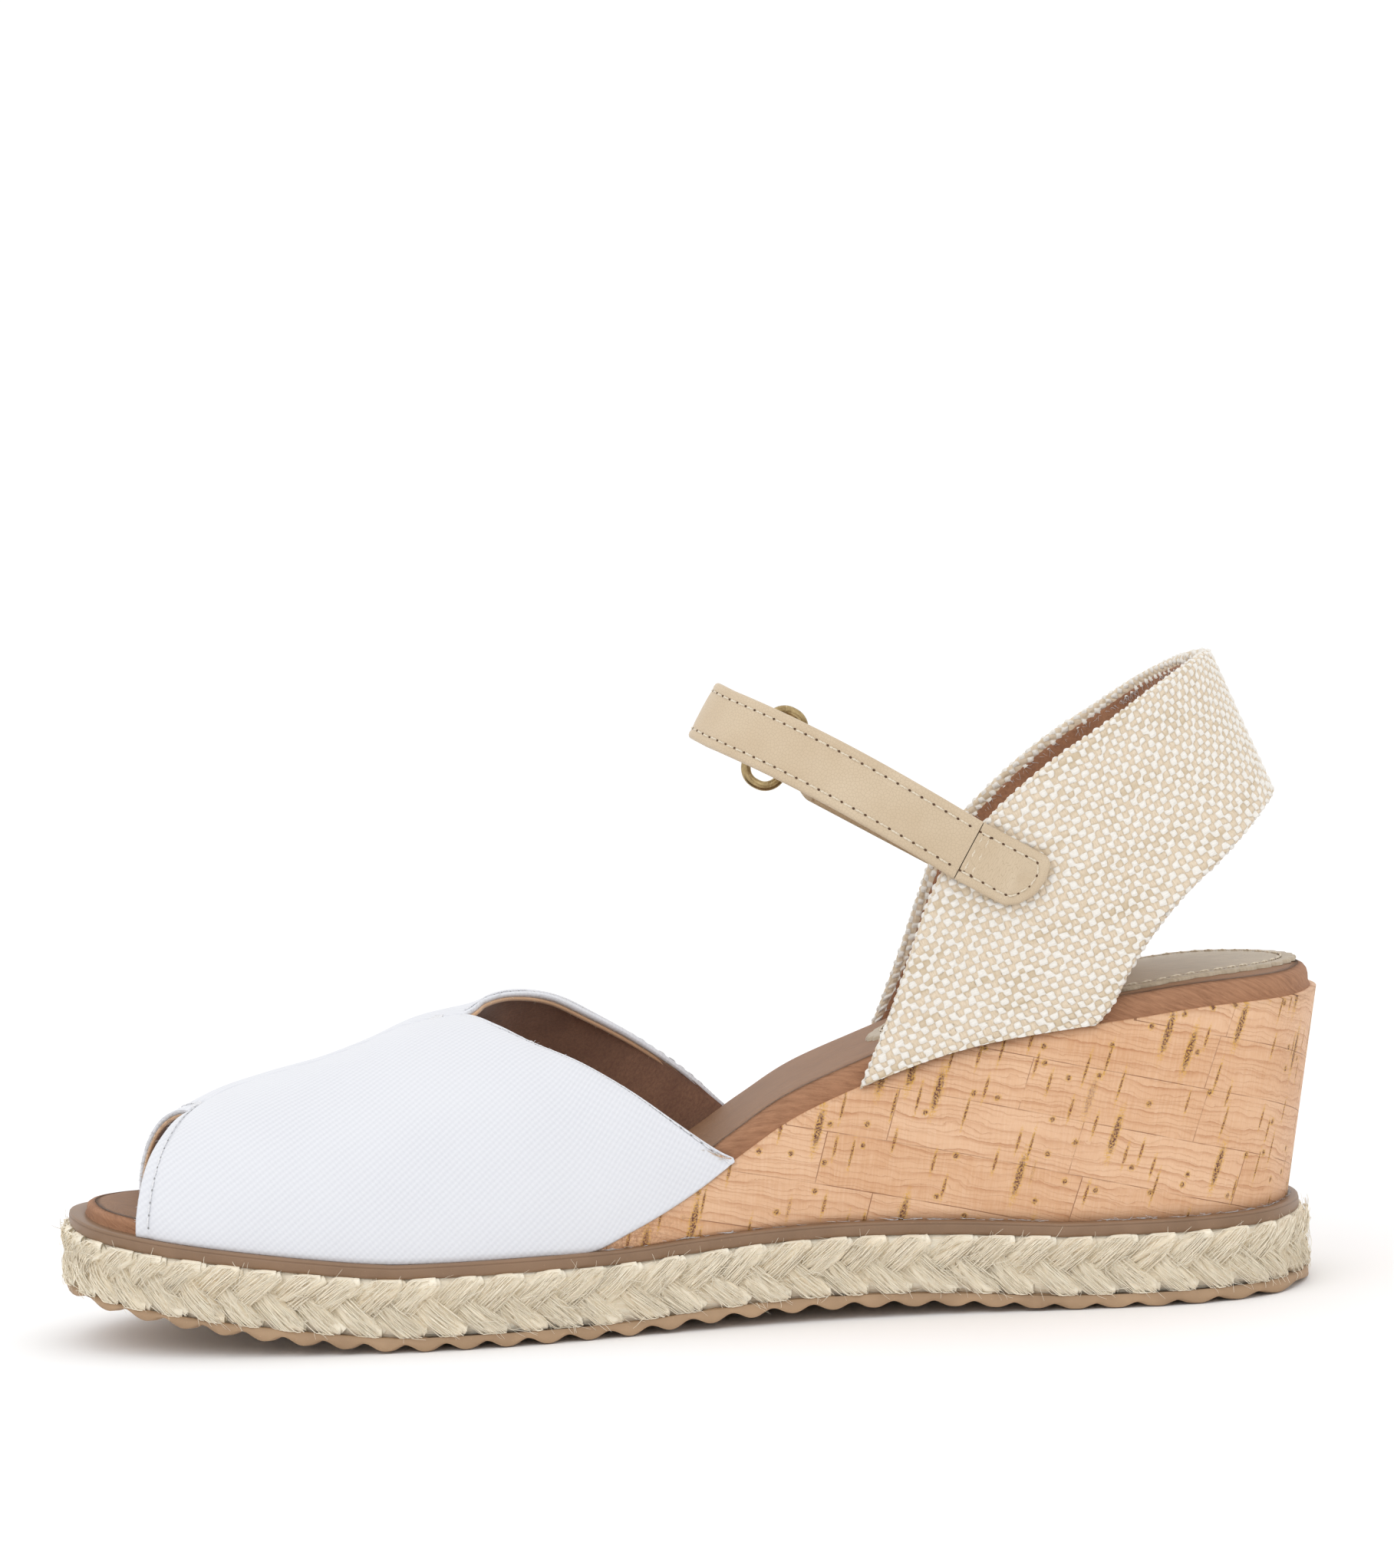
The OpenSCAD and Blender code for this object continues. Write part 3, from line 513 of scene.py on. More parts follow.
def thread_finish(name, dark, light):
    f = Finish(name, 0.55, Specular_IOR_Level=0.4, Sheen_Weight=0.2)
    ply = f.noise(f.uv((2.5, 6.0), 0.7), 1.0, 2.0)
    c = f.mix(f.band(ply, 0.35, 0.65), dark, light)
    f.colour(f.mix(f.band(f.tone(), -1.0, 3.0), c, light))
    return f.relief(ply, 0.06, 0.6)


def brass_finish():
    f = Finish("antique_brass", 0.3, Metallic=1.0)
    at = f.place()
    cloud = f.noise(at, 0.45, 4.0, 0.65)
    scratch = f.noise(f.place((3.0, 0.5, 1.2)), 1.0, 3.0)
    c = f.mix(f.band(cloud, 0.32, 0.7), (0.23, 0.155, 0.07), (0.53, 0.405, 0.21))
    f.colour(f.mix(f.band(scratch, 0.62, 0.8), c, (0.68, 0.55, 0.33)))
    f.roughness(cloud, 0.22, 0.42)
    return f.relief(scratch, 0.02, 0.4)


def solid_finish(name, dark, light, scale, depth, rough=0.85, **fixed):
    """For the pieces inside: foam, board and steel"""
    f = Finish(name, rough, **fixed)
    n = f.noise(f.place(), scale, 4.0, 0.7)
    f.colour(f.mix(f.band(n, 0.3, 0.7), dark, light))
    return f.relief(n, depth, 0.6)


def fuzz_finish(name, dark, light):
    f = Finish(name, 0.95, Sheen_Weight=0.4)
    n = f.noise(f.uv((1.2, 1.2)), 1.0, 4.0, 0.8)
    f.colour(f.mix(f.band(n, 0.3, 0.7), dark, light))
    return f.relief(n, 0.3, 0.8)


JUTE = jute_finish()
OUTSOLE = rubber_finish("outsole_rubber", (0.32, 0.205, 0.118), (0.43, 0.285, 0.17), 0.6)
WELT = rubber_finish("welt_rubber", (0.205, 0.122, 0.07), (0.255, 0.155, 0.092), 0.42)
CORK = cork_finish()
TWILL = twill_finish()
VAMP_SUEDE = suede_finish("vamp_suede", (0.265, 0.13, 0.078), (0.385, 0.2, 0.12), (0.60, 0.37, 0.21))
STRAP_SUEDE = suede_finish("strap_suede", (0.30, 0.13, 0.06), (0.42, 0.20, 0.10), (0.52, 0.3, 0.17))
LINEN = linen_finish()
LEATHER = leather_finish("strap_leather", (0.52, 0.40, 0.265), (0.60, 0.485, 0.345), 0.4, 0.9, 0.03)
BACKING = leather_finish("strap_backing", (0.47, 0.335, 0.2), (0.56, 0.42, 0.27), 0.75, 0.7, 0.06)
FOOTBED = brushed_line_finish("footbed_leather", (0.19, 0.095, 0.048), (0.33, 0.18, 0.098), 0.6)
FOOTBED_EDGE = brushed_line_finish("footbed_edge", (0.23, 0.105, 0.052), (0.41, 0.21, 0.115), 0.75)
PAD = brushed_line_finish("pad_leather", (0.33, 0.26, 0.18), (0.54, 0.45, 0.335), 0.45, 0.25)
WHITE_THREAD = thread_finish("white_thread", (0.62, 0.63, 0.66), (0.80, 0.80, 0.81))
TAN_THREAD = thread_finish("tan_thread", (0.50, 0.40, 0.27), (0.76, 0.68, 0.55))
# needle holes: dark discs of painted shade, brown on the leathers and grey on the white twill
HOLE_SHADE = solid_finish("needle_hole_shade", (0.05, 0.025, 0.012), (0.12, 0.06, 0.03), 2.0, 0.05, 0.9)
PALE_HOLE_SHADE = solid_finish("pale_needle_hole_shade", (0.2, 0.2, 0.2), (0.42, 0.42, 0.42), 2.0, 0.05, 0.9)
BRASS = brass_finish()
TAPE = fuzz_finish("fastener_tape", (0.5, 0.42, 0.3), (0.72, 0.64, 0.5))
WHITE_FUZZ = fuzz_finish("white_fuzz", (0.7, 0.7, 0.71), (0.84, 0.84, 0.84))
RUBBER_FOAM = solid_finish("midsole_foam", (0.03, 0.026, 0.024), (0.08, 0.07, 0.062), 0.9, 0.2)
CORK_CORE = solid_finish("cork_core", (0.34, 0.22, 0.12), (0.55, 0.38, 0.22), 0.35, 0.3)
STEEL = solid_finish("shank_steel", (0.4, 0.4, 0.41), (0.55, 0.55, 0.56), 0.8, 0.02, 0.35, Metallic=1.0)
BOARD = solid_finish("fibre_board", (0.35, 0.25, 0.15), (0.48, 0.36, 0.23), 0.7, 0.1)
FOAM = solid_finish("padding_foam", (0.7, 0.64, 0.5), (0.86, 0.82, 0.72), 1.1, 0.25)


# ---- Plan and side view of the sole ----

# Plan outline, then (x, height) of the sole's underside and of the wedge's top
SOLE_EDGE = [[-127.1, -5], [-121.5, -22.5], [-107, -33.5], [-86, -40], [-60, -43], [-35, -41.8],
             [-8, -35.8], [20, -30.2], [48, -28.2], [75, -30], [100, -29.6], [117, -20.5],
             [123.7, 0], [117, 21.5], [100, 30.6], [75, 32.3], [48, 31.5], [20, 34], [-8, 39.6],
             [-35, 43.1], [-60, 41], [-86, 36], [-107, 27], [-121.5, 13]]
RISE = [[-128, 10], [-115, 7.4], [-98, 4.8], [-76, 2], [-61, 0.4], [-52, 0], [-15, 0], [1, 1],
        [17, 1.8], [33, 2], [52, 1.4], [69, 0.4], [80, 0], [128, 0]]
WEDGE = [[-19, 16.8], [-9, 21], [1, 26.4], [11, 33], [22, 39.8], [35, 45.2], [48, 49.8],
         [60, 52.8], [75, 54.9], [90, 56.4], [105, 58], [128, 58.4]]
OUTSOLE_T, JUTE_H, WELT_T = 2.6, 11.4, 2.8
PLATFORM_H = OUTSOLE_T + JUTE_H + WELT_T
WEDGE_FRONT, WEDGE_H = -19, 41.6
WEDGE_FLARE, HEEL_OVERHANG = 0.08, 0.055
OUTSOLE_INSET, WELT_INSET, WEDGE_INSET, FOOTBED_INSET, VAMP_INSET = 0.7, 2, 4.2, 5.7, 3.2
TREAD_PITCH, TREAD_DEPTH, TOE_TAPER = 8, 1.4, 1.2
PAD_T, PAD_CROWN = 0.8, 1.2
CORK_T, CORK_TIP, CORK_ROWS, CORK_FIBRES = 1.0, 0.4, 14, 260
FOOTBED_SINK = 0.1

EDGE_N = 720
edge_line = spline(SOLE_EDGE, np.linspace(0, len(SOLE_EDGE), EDGE_N, endpoint=False), True)
edge_along = unit(np.roll(edge_line, -1, 0) - np.roll(edge_line, 1, 0))
edge_in = np.stack([-edge_along[:, 1], edge_along[:, 0]], 1)
edge_s = np.concatenate([[0], np.cumsum(np.linalg.norm(np.roll(edge_line, -1, 0) - edge_line, axis=1))])
EDGE_LENGTH = edge_s[-1]
rise_line = smooth(RISE, 8)
wedge_line = smooth(WEDGE, 8)


def rise(x):
    return np.maximum(0, np.interp(x, rise_line[:, 0], rise_line[:, 1]))


def platform(x):
    return rise(x) + PLATFORM_H


def wedge_top(x):
    return np.where(x < WEDGE_FRONT, platform(x), np.interp(x, wedge_line[:, 0], wedge_line[:, 1]))


def footbed_top(x):
    thick = np.interp(x, [-128, -90, -20, 128], [2.6, 3.2, 5, 5.2])
    slope = (wedge_top(x + 2) - wedge_top(x - 2)) / 4
    return wedge_top(x) + thick * np.sqrt(1 + slope ** 2)


def edge(d):
    return edge_line + d * edge_in


def flared(p):
    f = np.maximum(0, wedge_top(p[..., 0]) - platform(p[..., 0])) / WEDGE_H
    return np.stack([WEDGE_FRONT + (p[..., 0] - WEDGE_FRONT) * (1 + HEEL_OVERHANG * f),
                     p[..., 1] * (1 + WEDGE_FLARE * f)], -1)


def edge_place(s, d, height):
    """Points on the band: s along the sole edge, d inside it, at a height over the outsole"""
    s = np.mod(s, EDGE_LENGTH)
    ring = np.concatenate([edge_line, edge_line[:1]])
    inward = np.concatenate([edge_in, edge_in[:1]])
    at = [np.interp(s, edge_s, ring[:, k]) for k in (0, 1)]
    to = [np.interp(s, edge_s, inward[:, k]) for k in (0, 1)]
    x, y = at[0] + d * to[0], at[1] + d * to[1]
    return np.stack([x, y, rise(x) + OUTSOLE_T + height], -1)


def sole_sweep(shape, profile):
    """Closed band round the sole: profile is (inset, height over the rise) pairs, all the way round"""
    points = np.stack([np.column_stack([edge(d), rise(edge(d)[:, 0]) + h]) for d, h in profile], 1)
    around = run_length(np.array(profile + profile[:1], float))
    uv = pairs(edge_s, around)
    shape.grid(points, uv, (True, True))


def pair_rows(ring, height, across, drop=0.0):
    """Rows of points from one side of a closed ring to the other"""
    n = len(ring)
    left = ring[: n // 2 + 1]
    right = ring[(-np.arange(n // 2 + 1)) % n]
    t = np.linspace(0, 1, across + 1)[None, :, None]
    flat = left[:, None] * (1 - t) + right[:, None] * t
    return np.concatenate([flat, (height(flat[..., 0]) - drop)[..., None]], -1)


# ---- Sole pieces ----

def tread(x):
    """Underside of the outsole: rounded bars with grooves between them"""
    phase = np.mod(x / TREAD_PITCH + 0.5, 1.0) - 0.5
    groove = np.cos(math.pi * phase) ** 2
    taper = np.interp(x, [-124, -80], [TOE_TAPER, 0])
    shallow = np.interp(x, [10, 80], [1, 0.7])
    return rise(x) + taper + TREAD_DEPTH * shallow * groove ** 1.1


def make_outsole():
    shape = Shape()
    outline = edge(OUTSOLE_INSET)
    n = 2 * EDGE_N
    dense = np.stack([np.interp(np.linspace(0, EDGE_N, n, endpoint=False), np.arange(EDGE_N + 1),
                                np.append(outline[:, k], outline[0, k])) for k in (0, 1)], 1)
    inner = dense * 0.985
    s = np.linspace(0, EDGE_LENGTH, n + 1)
    x = dense[:, 0]
    rows = [(inner, tread(x)), (dense * 0.998, tread(x) + 0.02), (dense, tread(x) + 0.16),
            (dense, rise(x) + OUTSOLE_T - 0.05), (inner, rise(x) + OUTSOLE_T)]
    points = np.stack([np.column_stack([p, z]) for p, z in rows], 1)
    uv = pairs(s, [0, 1, 2, 4, 5.0])
    shape.grid(points, uv, (True, False))
    for height, flip in ((tread, 1), (lambda q: rise(q) + OUTSOLE_T, -1)):
        cap = pair_rows(inner, height, 8)[:, ::flip]
        shape.grid(cap, cap[..., :2])
    shape.build("outsole_tread", "sandal", [OUTSOLE], ["outsole"], "outsole_rubber", weld=True)


def make_welt():
    shape = Shape()
    low, top = PLATFORM_H - WELT_T, PLATFORM_H
    profile = [(9, low), (WELT_INSET + 0.4, low), (WELT_INSET + 0.08, low + 0.25), (WELT_INSET, low + 0.7),
               (WELT_INSET, top - 1.0), (WELT_INSET + 0.02, top - 0.78), (WELT_INSET + 0.2, top - 0.7),
               (WELT_INSET + 0.22, top - 0.62), (WELT_INSET + 0.12, top - 0.52),
               (WELT_INSET + 0.14, top - 0.3), (WELT_INSET + 0.32, top - 0.08), (WELT_INSET + 0.6, top),
               (9, top)]
    sole_sweep(shape, profile)
    shape.build("welt_strip", "sandal", [WELT], ["welt"], "welt_rubber")


STRAND_PITCH = 8.1
PLIES = 5
FIBRES_PER_STRAND, LOOSE_FIBRES = 56, 1900
ROW_H = JUTE_H / 2
NEARLY_UP = np.array([0.02, 0.03, 1.0])


def jute_strand(shape, row, start):
    """One strand, climbing outward from the middle of the band: twisted plies, with fibres over them"""
    count_t, sides = (11, 7) if FINE < 1 else (17, 10)
    t = np.linspace(0, 1, count_t)
    start = start + rng.normal(0, 0.35)
    reach = 8.8 + rng.normal(0, 0.35)
    tall = rng.normal(0, 0.15)
    s = start - 1.0 + reach * t
    height = ROW_H + row * (-1.7 + (7.9 + tall) * t ** 0.95)
    depth = 2.3 + 1.8 * (1 - t) ** 3 + 0.5 * t ** 6 + 0.15 * rng.normal()
    turn, twist = rng.uniform(0, 2), rng.uniform(1.5, 3.2)
    slope = math.atan2(row * 7.0, reach)
    tint = rng.uniform(0, 1) ** 3
    for ply in range(PLIES):
        a = turn + ply * 2 * math.pi / PLIES + twist * t
        off = 1.55 * np.cos(a)
        path = edge_place(s - off * math.sin(slope), depth + 0.25 - 0.7 * np.sin(a),
                          np.clip(height + off * math.cos(slope), 0.9, JUTE_H - 0.9))
        size = rng.uniform(1.0, 1.25) * (1 - 0.3 * (1 - t) ** 2)
        shape.tube(path, size, sides, up=NEARLY_UP, tone=0.6 * tint + rng.uniform(-0.2, 0.25))
    for _ in range(int(FIBRES_PER_STRAND * FINE)):
        a, size = rng.uniform(0, 2 * math.pi), rng.uniform(1.0, 3.0)
        off = size * math.cos(a)
        ends = np.sort(rng.uniform(0, 1, 2))
        part = t[(t >= ends[0]) & (t <= max(ends[1], ends[0] + 0.4))]
        if len(part) < 4:
            continue
        drift = rng.normal(0, 0.35) * (part - part[0])
        bow = rng.uniform(0, 0.5) * np.sin(math.pi * (part - part[0]) / (part[-1] - part[0]))
        path = edge_place(np.interp(part, t, s) - off * math.sin(slope),
                          np.interp(part, t, depth) - 0.7 - 1.15 * abs(math.sin(a)) - bow,
                          np.clip(np.interp(part, t, height) + off * math.cos(slope) + drift,
                                  0.1, JUTE_H - 0.1))
        shape.tube(path, rng.uniform(0.05, 0.11), 4, up=NEARLY_UP, tone=rng.uniform(-0.8, 0.5))


def loose_fibre(shape):
    """A stray fibre anywhere on the jute, short enough to stay near the band"""
    row = rng.choice([-1, 1])
    s = rng.uniform(0, EDGE_LENGTH)
    height = ROW_H + row * rng.uniform(0.2, 5.6)
    here, there = edge_place(np.array([s, s + 1.0]), 0.35, height)
    out = unit(np.cross(there - here, [0, 0, 1.0]))
    angle = row * rng.normal(0.7, 0.45)
    way = unit(there - here) * math.cos(angle) + np.array([0, 0, math.sin(angle)])
    way = way * rng.choice([-1, 1])
    room = height + OUTSOLE_T - 1.6 if way[2] < 0 else JUTE_H - height + 1.6
    length = min(rng.gamma(3.0, 1.2), max(room, 0.8) / max(abs(way[2]), 0.15))
    hair(shape, here - out * rng.uniform(0.1, 0.5), way, out, length, rng.uniform(0.2, 0.9),
         rng.normal(0, 0.12) * length, rng.uniform(0.045, 0.085), tone=rng.uniform(-0.6, 0.1))


def make_jute():
    shape = Shape()
    sole_sweep(shape, [(4.4, OUTSOLE_T), (2.8, OUTSOLE_T), (2.6, OUTSOLE_T + 1.5),
                       (2.8, OUTSOLE_T + 3.5), (3.8, OUTSOLE_T + ROW_H), (2.8, OUTSOLE_T + 7.9),
                       (2.6, OUTSOLE_T + JUTE_H - 1.5), (2.8, OUTSOLE_T + JUTE_H),
                       (4.4, OUTSOLE_T + JUTE_H)])
    count = int(round(EDGE_LENGTH / STRAND_PITCH))
    pitch = EDGE_LENGTH / count
    for row in (1, -1):
        for k in range(count):
            jute_strand(shape, row, (k + 0.5 * (row < 0)) * pitch)
    for _ in range(int(LOOSE_FIBRES * FINE)):
        loose_fibre(shape)
    shape.build("jute_strands", "sandal", [JUTE], ["jute_braid"], "jute")


def wall_rows(d, first):
    """Cork wall from the medial feather edge round the heel to the lateral one"""
    pick = np.arange(first, EDGE_N - first + 1)
    foot = edge(d)[pick]
    top = flared(foot)
    low = platform(foot[:, 0])
    high = np.maximum(wedge_top(top[:, 0]), low + CORK_TIP)
    t = np.linspace(0, 1, CORK_ROWS + 1)[None, :, None]
    foot3, top3 = np.column_stack([foot, low]), np.column_stack([top, high])
    return foot3[:, None] * (1 - t) + top3[:, None] * t, pick


def make_cork():
    shape = Shape()
    first = int(np.argmax(edge_line[:, 0] > WEDGE_FRONT))
    outer, pick = wall_rows(WEDGE_INSET, first)
    inner, _ = wall_rows(WEDGE_INSET + CORK_T, first)
    s = edge_s[pick] - edge_s[EDGE_N // 2]
    uv = np.stack([np.broadcast_to(s[:, None], outer.shape[:2]), outer[..., 2]], -1)
    tip = 1 - ramp(outer[..., 0], -12, 6)
    back = ramp(outer[..., 0], 108, 124) * 0.5
    inner[:, -1, :2] -= (outer - inner)[:, -1, :2]
    shape.shell(outer, inner, uv, bead=0.12, tone=tip + back)
    for _ in range(int(CORK_FIBRES * FINE)):
        k = rng.integers(0, len(pick) - 1)
        p, q = outer[k, 0], outer[k + 1, 0]
        out = unit(np.cross(q - p, [0, 0, 1.0]))
        hair(shape, p + out * 0.2 + [0, 0, rng.uniform(0.0, 0.3)], unit(q - p) * rng.choice([-1, 1]), out,
             rng.uniform(0.8, 3.0), rng.uniform(0.1, 0.5), rng.normal(0, 0.3), 0.05, slot=1)
    shape.build("cork_veneer", "sandal", [CORK, WHITE_FUZZ], ["cork_wrap"], "cork")


def make_footbed():
    shape = Shape()
    profile = [(1.2, 0.0), (-0.45, 0.0), (-0.4, 0.05), (0, 0.25), (0, 0.5), (0.2, 0.68), (0.75, 0.83),
               (1.7, 0.93), (3.0, 0.985), (4.5, 1.0)]

    def ring(d):
        return flared(edge(FOOTBED_INSET + d))

    def level(p, share):
        low, high = wedge_top(p[:, 0]) - FOOTBED_SINK, footbed_top(p[:, 0])
        return low + (high - low) * share

    points = np.stack([np.column_stack([ring(d), level(ring(d), f)]) for d, f in profile], 1)
    around = np.array([0, 0.8, 1.0, 2.2, 3.4, 4.3, 5.2, 6.2, 7.4, 9.0])
    uv = pairs(edge_s, around)
    shape.grid(points[:, :8], uv[:, :8], (True, False), slot=1)
    shape.grid(points[:, 7:], uv[:, 7:], (True, False), slot=0)
    top = pair_rows(ring(profile[-1][0]), footbed_top, 30)
    shape.grid(top, top[..., :2])
    low = pair_rows(ring(profile[0][0]), lambda x: wedge_top(x) - FOOTBED_SINK, 6)[:, ::-1]
    shape.grid(low, low[..., :2])
    cover = shape.build("footbed_leather_cover", "sandal", [FOOTBED, FOOTBED_EDGE], ["footbed_cover"],
                        "footbed_leather", weld=True)


PAD_MID, PAD_HALF, PINKS = (80, 1.4), (43.5, 25.5), 46
PAD_STITCH_INSET = 3.1


def pad_point(a, grow):
    narrow = 1 - 0.12 * (1 - np.cos(a)) / 2
    x = PAD_MID[0] + (PAD_HALF[0] + grow) * np.cos(a)
    y = PAD_MID[1] + (PAD_HALF[1] + grow) * narrow * np.sin(a)
    return x, y


def make_pad():
    shape = Shape()
    a = np.linspace(0, 2 * math.pi, PINKS * 10, endpoint=False)
    scallop = -0.8 * (1 - np.abs(np.cos(a * PINKS / 2)))
    rings = []
    for grow, lift in [(0, 0.02), (0, 0.6), (-0.25, 0.93)] + [(-g, 1.0) for g in (1, 2.6)]:
        x, y = pad_point(a, scallop * (1 if grow > -1 else 0.2) + grow)
        rings.append(np.stack([x, y, footbed_top(x) + PAD_T * lift], -1))
    for g, lift in ((PAD_STITCH_INSET, 0.78), (3.6, 1.0), (7, 1.12), (12, PAD_CROWN), (18, PAD_CROWN),
                    (23, PAD_CROWN)):
        x, y = pad_point(a, -g)
        rings.append(np.stack([x, y, footbed_top(x) + PAD_T * lift], -1))
    for share in (0.6, 0.3, 0.02):
        y = PAD_MID[1] + share * (rings[-1][:, 1] - PAD_MID[1])
        rings.append(np.stack([x, y, footbed_top(x) + PAD_T * PAD_CROWN], -1))
    points = np.stack(rings, 0)
    uv = np.concatenate([points[..., :2], points[:, :1, :2]], 1)
    shape.grid(points, uv, (False, True))
    top = pair_rows(rings[-1][:, :2], lambda q: footbed_top(q) + PAD_T * PAD_CROWN, 1)
    shape.grid(top, top[..., :2])
    low = pair_rows(rings[0][:, :2], lambda q: footbed_top(q) + PAD_T * 0.02, 8)[:, ::-1]
    shape.grid(low, low[..., :2])
    pad = shape.build("heel_pad_leather", "sandal", [PAD], ["heel_pad"], "pad_leather", weld=True)
    thread, hole_shades = Shape(), Shape()
    x, y = pad_point(np.linspace(0, 2 * math.pi, 300), -PAD_STITCH_INSET)
    path = np.stack([x, y, footbed_top(x) + PAD_T * 0.85], -1)
    stitches(thread, hole_shades, path, np.tile([0, 0, 1.0], (300, 1)), 3.0, 2.1, 0.26)
    thread.build("heel_pad_thread", "sandal", [TAN_THREAD], ["heel_pad_stitching"], "tan_thread")
    hole_shades.build("heel_pad_hole_shade_discs", "sandal", [HOLE_SHADE])


# ---- Vamp ----

# Vamp columns: x of the foot on the sole, and the top point on the seam or the throat
SEAM = [[-100.7, 0.5, 44], [-92.6, 0.5, 48.1], [-83.5, 0.5, 50.7], [-74.2, 0.5, 53.1],
        [-64.8, 0.5, 56.2], [-55.7, 0.5, 59.4], [-44.6, 0.5, 60.9]]
MEDIAL_COLUMNS = list(zip([-109, -100, -87, -73, -60, -48, -37], SEAM)) + [
    (-28, [-36.7, -8, 59.4]), (-19, [-28.7, -15, 56.3]), (-11, [-19.7, -20.3, 52.6]),
    (-4, [-10.7, -24.3, 47.4]), (2.5, [-2.2, -27.4, 41.3]), (7.8, [5.6, -29, 35.6]),
    (9.9, [9.5, -29.4, 33.4])]
LATERAL_COLUMNS = list(zip([-114, -104, -90, -75.5, -62, -49, -38], SEAM)) + [
    (-31, [-40, 6.5, 63]), (-25, [-34.6, 13.5, 63.2]), (-18, [-27.6, 20.3, 61.2]),
    (-11, [-20.4, 25.3, 56.8]), (-3.5, [-11.4, 29.6, 50.7]), (3, [-2.6, 32.1, 43.7]),
    (7.8, [5.8, 33.2, 35.9]), (9.9, [9.5, 33.5, 33.4])]
HEM = 3.0
VAMP_FIBRES = 420
CROWN = np.array([[-70, 0], [-45, 2.2], [-34, 0.6], [-22, 0]], float)
THROAT_START = len(SEAM) - 1


def side_line(medial):
    line = flared(edge(VAMP_INSET))
    return line[: EDGE_N // 2 + 1] if medial else line[(-np.arange(EDGE_N // 2 + 1)) % EDGE_N]


def vamp_surface(medial, s, a):
    """The vamp's outer surface: s along its columns, a from the sole up to the seam or throat"""
    line = side_line(medial)
    columns = MEDIAL_COLUMNS if medial else LATERAL_COLUMNS
    out, up = np.cos(math.pi / 2 * a) ** 0.86, np.sin(math.pi / 2 * a) ** 0.84
    along = a ** (1.4 if medial else 1.6)
    bare = []
    for x, top in columns:
        foot = (x, float(np.interp(x, line[:, 0], line[:, 1])), float(wedge_top(np.array(x))) + 0.15)
        crown = 0 if medial else np.interp(top[0], CROWN[:, 0], CROWN[:, 1]) * np.sin(math.pi * a ** 3)
        bare.append(np.stack([foot[0] + (top[0] - foot[0]) * along, top[1] + (foot[1] - top[1]) * out,
                              foot[2] + (top[2] - foot[2]) * up + crown], -1))
    grid = spline(np.array(bare), s)
    grid[..., 1] = np.minimum(grid[..., 1], 0.5) if medial else np.maximum(grid[..., 1], 0.5)
    return grid


def grid_normals(grid):
    return unit(np.cross(np.gradient(grid, axis=0), np.gradient(grid, axis=1)))


def grid_uv(grid):
    """Flat coordinates in millimetres, measured along a grid's rows and columns"""
    across = np.cumsum(steps(grid, 1), 1)
    along = np.cumsum(steps(grid).mean(1))[:, None]
    return np.stack([np.broadcast_to(along, across.shape), across], -1)


def make_vamp_half(medial):
    side = "medial" if medial else "lateral"
    n = len(MEDIAL_COLUMNS if medial else LATERAL_COLUMNS) - 1
    s = np.linspace(0, n, int(n * 16 * FINE) + 1)
    a = np.linspace(0, 1, int(110 * FINE) + 1)
    surface = vamp_surface(medial, s, a)
    inward = grid_normals(surface) * (-1 if medial else 1)
    thin = np.minimum(1, 0.25 + 0.45 * (n - s))[:, None, None]
    uv = grid_uv(surface)
    uv[..., 0] = surface[..., 0]
    from_throat = np.where((s > THROAT_START)[:, None], (uv[:, -1:, 1] - uv[..., 1]), 99)
    from_peep = np.cumsum(steps(surface), 0)
    seam_near = np.where((s <= THROAT_START)[:, None], uv[:, -1:, 1] - uv[..., 1], 99)
    fold = (0.35 * np.exp(-((from_throat - HEM) / 0.8) ** 2) + 0.3 * np.exp(-((from_peep - HEM) / 0.8) ** 2)
            + 0.6 * np.exp(-(seam_near / 0.9) ** 2))
    ripple = 0.12 * wobble(surface[..., 0], surface[..., 1] * 1.2 + surface[..., 2], 34, 5 + medial)
    outer = surface + inward * (fold + 0.2 + ripple * ramp(a, 0.0, 0.2))[..., None] * np.minimum(1, thin)

    def within(d):
        g = surface + inward * d * thin
        g[..., 1] = np.minimum(g[..., 1], 0.45) if medial else np.maximum(g[..., 1], 0.55)
        return g

    outer[..., 1] = np.minimum(outer[..., 1], 0.5) if medial else np.maximum(outer[..., 1], 0.5)
    twill = Shape()
    twill.shell(outer, within(1.1), uv, bead=0.4)
    cloth = twill.build("vamp_twill_" + side, "sandal", [TWILL], ["vamp_" + side], "white_twill")
    lining = Shape()
    raw = np.maximum(1 - from_throat / 1.3, np.clip(1 - from_peep / 1.3, 0, 1))
    tones = np.clip(raw, 0, 1)
    stand = (0.9 * np.clip(1 - from_throat / 2.5, 0, 1))[..., None]
    edge_up = np.zeros_like(surface)
    edge_up[s > THROAT_START] = (unit(surface[:, -1:] - surface[:, -4:-3]))[s > THROAT_START]
    lining.shell(within(1.15) + edge_up * stand * 0.6 * thin, within(1.9) + edge_up * stand * 0.6 * thin,
                 uv, tone=tones)
    inner = lining.build("vamp_suede_" + side, "sandal", [VAMP_SUEDE], ["vamp_lining_" + side],
                         "vamp_suede")
    return surface, inward, s, uv


def sew_vamp(thread, hole_shades, half):
    """Stitches along the throat and along the peep, a hem's width from the edge"""
    surface, inward, s, uv = half
    throat = np.where(s >= THROAT_START)[0][:-6]
    column = np.argmin(np.abs(uv[:, -1:, 1] - uv[..., 1] - HEM), 1)
    row = np.argmin(np.abs(np.cumsum(steps(surface), 0) - HEM), 0)
    peep = np.arange(4, surface.shape[1] - 6)
    for at, sink in (((throat, column[throat]), 0.42), ((row[peep], peep), 0.4)):
        stitches(thread, hole_shades, surface[at] + inward[at] * sink, -inward[at], 2.5, 1.7, 0.17, hole=0.2)


